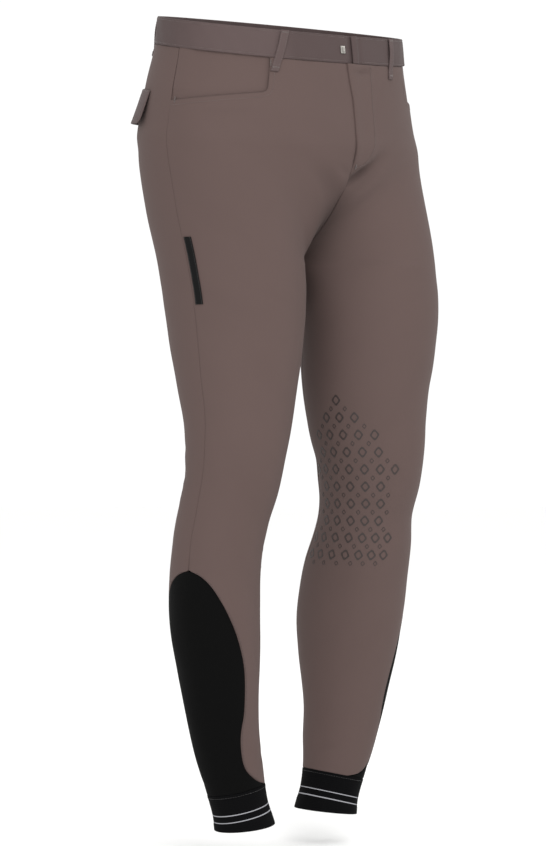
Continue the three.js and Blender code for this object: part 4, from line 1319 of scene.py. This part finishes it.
def grip_points(side, across_pitch, down_pitch, start_across, start_down):
    """Places of a straight lattice inside the grip's outline, with the way out and the way up at each."""
    points, outs, ups = [], [], []
    rows = np.arange(GRIP_TOP + start_down, GRIP_FOOT, down_pitch)
    for drop in rows:
        middle = (GRIP_MIDDLE - read(SEAMS, "inner", drop)) / 360
        pace = float(skin(side, drop, middle)[2])
        spread = np.clip((drop - GRIP_TOP + 6) / (GRIP_SHOULDER - GRIP_TOP), 0, 1)
        reach = GRIP_HALF / 360 * pace * spread
        level = drop
        for k in range(-6, 7):
            across = (k + start_across) * across_pitch
            if abs(across) > reach:
                continue
            share = middle + across / pace
            drop = level
            for _ in range(4):
                drop = drop + float(skin_point(side, drop, share)[2]) + level
            point, out, _ = skin(side, drop, share)
            lift = relief(side, np.asarray(drop), np.asarray(share)) + 0.8
            points.append(point + out * float(lift))
            outs.append(out)
            ups.append(skin_point(side, drop - 2, share) - point)
    return np.array(points), {"out": np.array(outs), "lay": np.array(ups)}


def make_grip(tree, side, name):
    sizes = bpy.context.scene.breeches_sizes
    cloth = bpy.data.objects[f"leg_front_{name}"]
    common = {"Cloth": cloth, "Rise": sizes.grip_rise, "Material": grip_silicone()}
    across, down = sizes.grip_across / MM, sizes.grip_down / MM
    points, vectors = grip_points(side, across, down, 0, 0)
    rings = {"Width": sizes.grip_width, "Height": sizes.grip_height, "Stroke": sizes.grip_stroke}
    grow(f"grip_rings_{name}", points, [], vectors, tree, {**common, **rings})
    points, vectors = grip_points(side, across, down, 0.5, down / 2)
    drops = {"Width": sizes.grip_width * 0.45, "Height": sizes.grip_height * 0.45, "Stroke": 0.0008}
    grow(f"grip_dots_{name}", points, [], vectors, tree, {**common, **drops})


def length_property(name, description, metres):
    return FloatProperty(name=name, description=description, default=metres, unit="LENGTH")


class BreechesSizes(bpy.types.PropertyGroup):
    """Sizes of the sewing and the print."""

    pitch: length_property("Stitch pitch", "From one stitch to the next", 0.003)
    stitch: length_property("Stitch length", "Visible length of one stitch", 0.0022)
    thread: length_property("Thread", "Thickness of the sewing thread", 0.0005)
    grip_width: length_property("Motif width", "Width of one grip motif", 0.0125)
    grip_height: length_property("Motif height", "Height of one grip motif", 0.0155)
    grip_stroke: length_property("Motif stroke", "Width of a motif's line", 0.0019)
    grip_rise: length_property("Print height", "How proud the print stands", 0.0003)
    grip_across: length_property("Pitch across", "From motif to motif round the knee", 0.0185)
    grip_down: length_property("Pitch down", "From motif to motif down the knee", 0.0205)


def colour_property(name, description, code):
    return FloatVectorProperty(
        name=name, description=description, default=linear(code), subtype="COLOR", min=0, max=1,
    )


class BreechesColours(bpy.types.PropertyGroup):
    """Colours of the cloth, the trim and the floor."""

    cloth: colour_property("Leg cloth", "Taupe twill of the legs", "534542")
    band: colour_property("Band cloth", "Twill of the band, loops and flaps", "4F4342")
    calf: colour_property("Calf panel", "Black jersey of the calf panels", "090909")
    cuff: colour_property("Cuff", "Black elastic of the cuffs", "09090A")
    stripe: colour_property("Stripe", "Grey yarn in the cuffs", "8F8F93")
    label: colour_property("Thigh tape", "Black ribbon on the thigh", "0B0B0B")
    thread: colour_property("Taupe thread", "Thread on the taupe cloth", "4E423F")
    dark_thread: colour_property("Black thread", "Thread round the calf panels", "120D0C")
    grip: colour_property("Grip print", "Silicone on the knees", "2E2523")
    steel: colour_property("Hook", "Plated steel of the hook bar", "8B8883")
    floor: colour_property("Floor", "Pale studio floor", "FBFBFA")


class BREECHES_OT_legs(bpy.types.Operator):
    """Cuts the two leg fronts and two leg backs"""

    bl_idname = "breeches.legs"
    bl_label = "Leg fronts and backs"

    def execute(self, context):
        for side, name in SIDES:
            make_front(side, name)
            make_back(side, name)
        return {"FINISHED"}


class BREECHES_OT_under_layers(bpy.types.Operator):
    """Cuts the cloth inside the front pockets and behind the fly"""

    bl_idname = "breeches.under_layers"
    bl_label = "Pocket facings and fly underlap"

    def execute(self, context):
        for side, name in SIDES:
            make_hip_facing(side, name)
        make_fly_shield()
        return {"FINISHED"}


class BREECHES_OT_calves(bpy.types.Operator):
    """Cuts the black stretch panels of the calves"""

    bl_idname = "breeches.calves"
    bl_label = "Calf panels"

    def execute(self, context):
        for side, name in SIDES:
            make_calf(side, name)
        return {"FINISHED"}


class BREECHES_OT_cuffs(bpy.types.Operator):
    """Knits the two ankle cuffs"""

    bl_idname = "breeches.cuffs"
    bl_label = "Cuffs"

    def execute(self, context):
        for side, name in SIDES:
            make_cuff(side, name)
        return {"FINISHED"}


class BREECHES_OT_waistband(bpy.types.Operator):
    """Folds the two halves of the waistband, and sets the hook bar"""

    bl_idname = "breeches.waistband"
    bl_label = "Waistband and hook"

    def execute(self, context):
        make_left_band()
        make_right_band()
        make_hook()
        return {"FINISHED"}


class BREECHES_OT_trim(bpy.types.Operator):
    """Sets the belt loops, the back pocket flaps and the thigh tape"""

    bl_idname = "breeches.trim"
    bl_label = "Loops, flaps and tape"

    def execute(self, context):
        for name, side, top, foot in LOOPS:
            make_loop(name, side, top, foot)
        for side, name in SIDES:
            make_flap(side, name)
        make_label()
        return {"FINISHED"}


class BREECHES_OT_grips(bpy.types.Operator):
    """Prints the grip on the inside of each knee"""

    bl_idname = "breeches.grips"
    bl_label = "Knee grips"

    def execute(self, context):
        tree = grip_tree()
        for side, name in SIDES:
            make_grip(tree, side, name)
        return {"FINISHED"}


class BREECHES_OT_sewing(bpy.types.Operator):
    """Sews every topstitched line and bar tack"""

    bl_idname = "breeches.sewing"
    bl_label = "Topstitching"

    def execute(self, context):
        sizes, colours = context.scene.breeches_sizes, context.scene.breeches_colours
        tree = stitch_tree()
        taupe, black = yarn("Taupe thread", colours.thread), yarn("Black thread", colours.dark_thread)
        lines, tacks = sew_taupe()
        plain = {"Pitch": sizes.pitch, "Length": sizes.stitch, "Thread": sizes.thread}
        close = {"Pitch": 0.0005, "Length": 0.0024, "Thread": sizes.thread}
        for name, paths, how, thread, slot in (
            ("topstitching", lines, plain, taupe, "leg_cloth"),
            ("bar_tacks", tacks, close, taupe, "band_cloth"),
            ("border_stitching", sew_black(), plain, black, "black_stretch"),
        ):
            inputs = {**how, "Material": thread}
            grow(name, paths.points, paths.edges, {"lay": paths.lay}, tree, inputs)
        return {"FINISHED"}


# The camera stands level with the knees and 3.4 m away, 47 degrees round to the wearer's right.
CAMERA_PLACE = (-2.4944, -2.3104, -0.454)
CAMERA_AZIMUTH = math.radians(-47)
CAMERA_LENS = 121.57
FLOOR_DROP = 964
FLOOR_RADIUS = 14

# Each light: place, what it faces, its width in metres and its power in watts.
LIGHTS = (
    ("key", (-1.5, -2.6, 2.1), (0, 0, -0.1), 2.2, 66),
    ("fill", (-4.0, -1.8, 0.6), (0, 0, -0.4), 2.6, 50),
    ("rim", (2.4, -2.0, 1.4), (0, 0, -0.2), 1.6, 22),
)


def floor_paint():
    """Matt white studio paper."""

    def build(tree):
        colour = bpy.context.scene.breeches_colours.floor
        fibre = noise(tree, solid_place(tree), 60.0, 4.0)
        tone = blend(tree, fibre, rgba(colour, 0.985), rgba(colour))
        return add(tree, "ShaderNodeBsdfPrincipled", {"Base Color": tone, "Roughness": 0.9})

    return material("White studio paper", build)


class BREECHES_OT_stage(bpy.types.Operator):
    """Lays the pale floor, hangs the lights and places the camera"""

    bl_idname = "breeches.stage"
    bl_label = "Floor, lights and camera"

    def execute(self, context):
        turn = np.linspace(0, 2 * np.pi, 97)[:-1]
        low = np.full(len(turn), -FLOOR_DROP * MM)
        rim = np.stack([FLOOR_RADIUS * np.cos(turn), FLOOR_RADIUS * np.sin(turn), low], axis=1)
        mesh = bpy.data.meshes.new("floor")
        mesh.from_pydata(rim.tolist(), [], [list(range(len(turn)))])
        mesh.materials.append(floor_paint())
        new_object("floor", mesh)
        world = bpy.data.worlds.new("soft white room")
        world.use_nodes = True
        sky = world.node_tree.nodes["Background"]
        sky.inputs["Color"].default_value = (1, 1, 1, 1)
        sky.inputs["Strength"].default_value = 1.04
        context.scene.world = world
        for name, place, target, width, power in LIGHTS:
            data = bpy.data.lights.new(name, "AREA")
            data.size, data.energy = width, power
            lamp = new_object(name, data)
            lamp.location = place
            lamp.rotation_euler = (Vector(target) - Vector(place)).to_track_quat("-Z", "Y").to_euler()
        camera = new_object("camera", bpy.data.cameras.new("camera"))
        camera.location = CAMERA_PLACE
        camera.rotation_euler = (math.pi / 2, 0, CAMERA_AZIMUTH)
        camera.data.lens = CAMERA_LENS
        context.scene.camera = camera
        context.scene.view_settings.view_transform = "Standard"
        return {"FINISHED"}


STEPS = (
    BREECHES_OT_legs, BREECHES_OT_under_layers, BREECHES_OT_calves, BREECHES_OT_cuffs,
    BREECHES_OT_waistband, BREECHES_OT_trim, BREECHES_OT_grips, BREECHES_OT_sewing, BREECHES_OT_stage,
)


class BREECHES_PT_panel(bpy.types.Panel):
    """Lists the steps in order, with the sizes and colours that they use"""

    bl_label = "Riding breeches"
    bl_space_type = "VIEW_3D"
    bl_region_type = "UI"
    bl_category = "Breeches"

    def draw(self, context):
        column = self.layout.column()
        for step in STEPS:
            column.operator(step.bl_idname)
        for group in (context.scene.breeches_sizes, context.scene.breeches_colours):
            for name in group.__annotations__:
                column.prop(group, name)


CLASSES = (BreechesSizes, BreechesColours, *STEPS, BREECHES_PT_panel)


def register():
    for made in CLASSES:
        bpy.utils.register_class(made)
    bpy.types.Scene.breeches_sizes = PointerProperty(type=BreechesSizes)
    bpy.types.Scene.breeches_colours = PointerProperty(type=BreechesColours)


def unregister():
    del bpy.types.Scene.breeches_colours
    del bpy.types.Scene.breeches_sizes
    for made in reversed(CLASSES):
        bpy.utils.unregister_class(made)


def main():
    register()
    for step in STEPS:
        group, name = step.bl_idname.split(".")
        getattr(getattr(bpy.ops, group), name)()


if __name__ == "__main__":
    main()
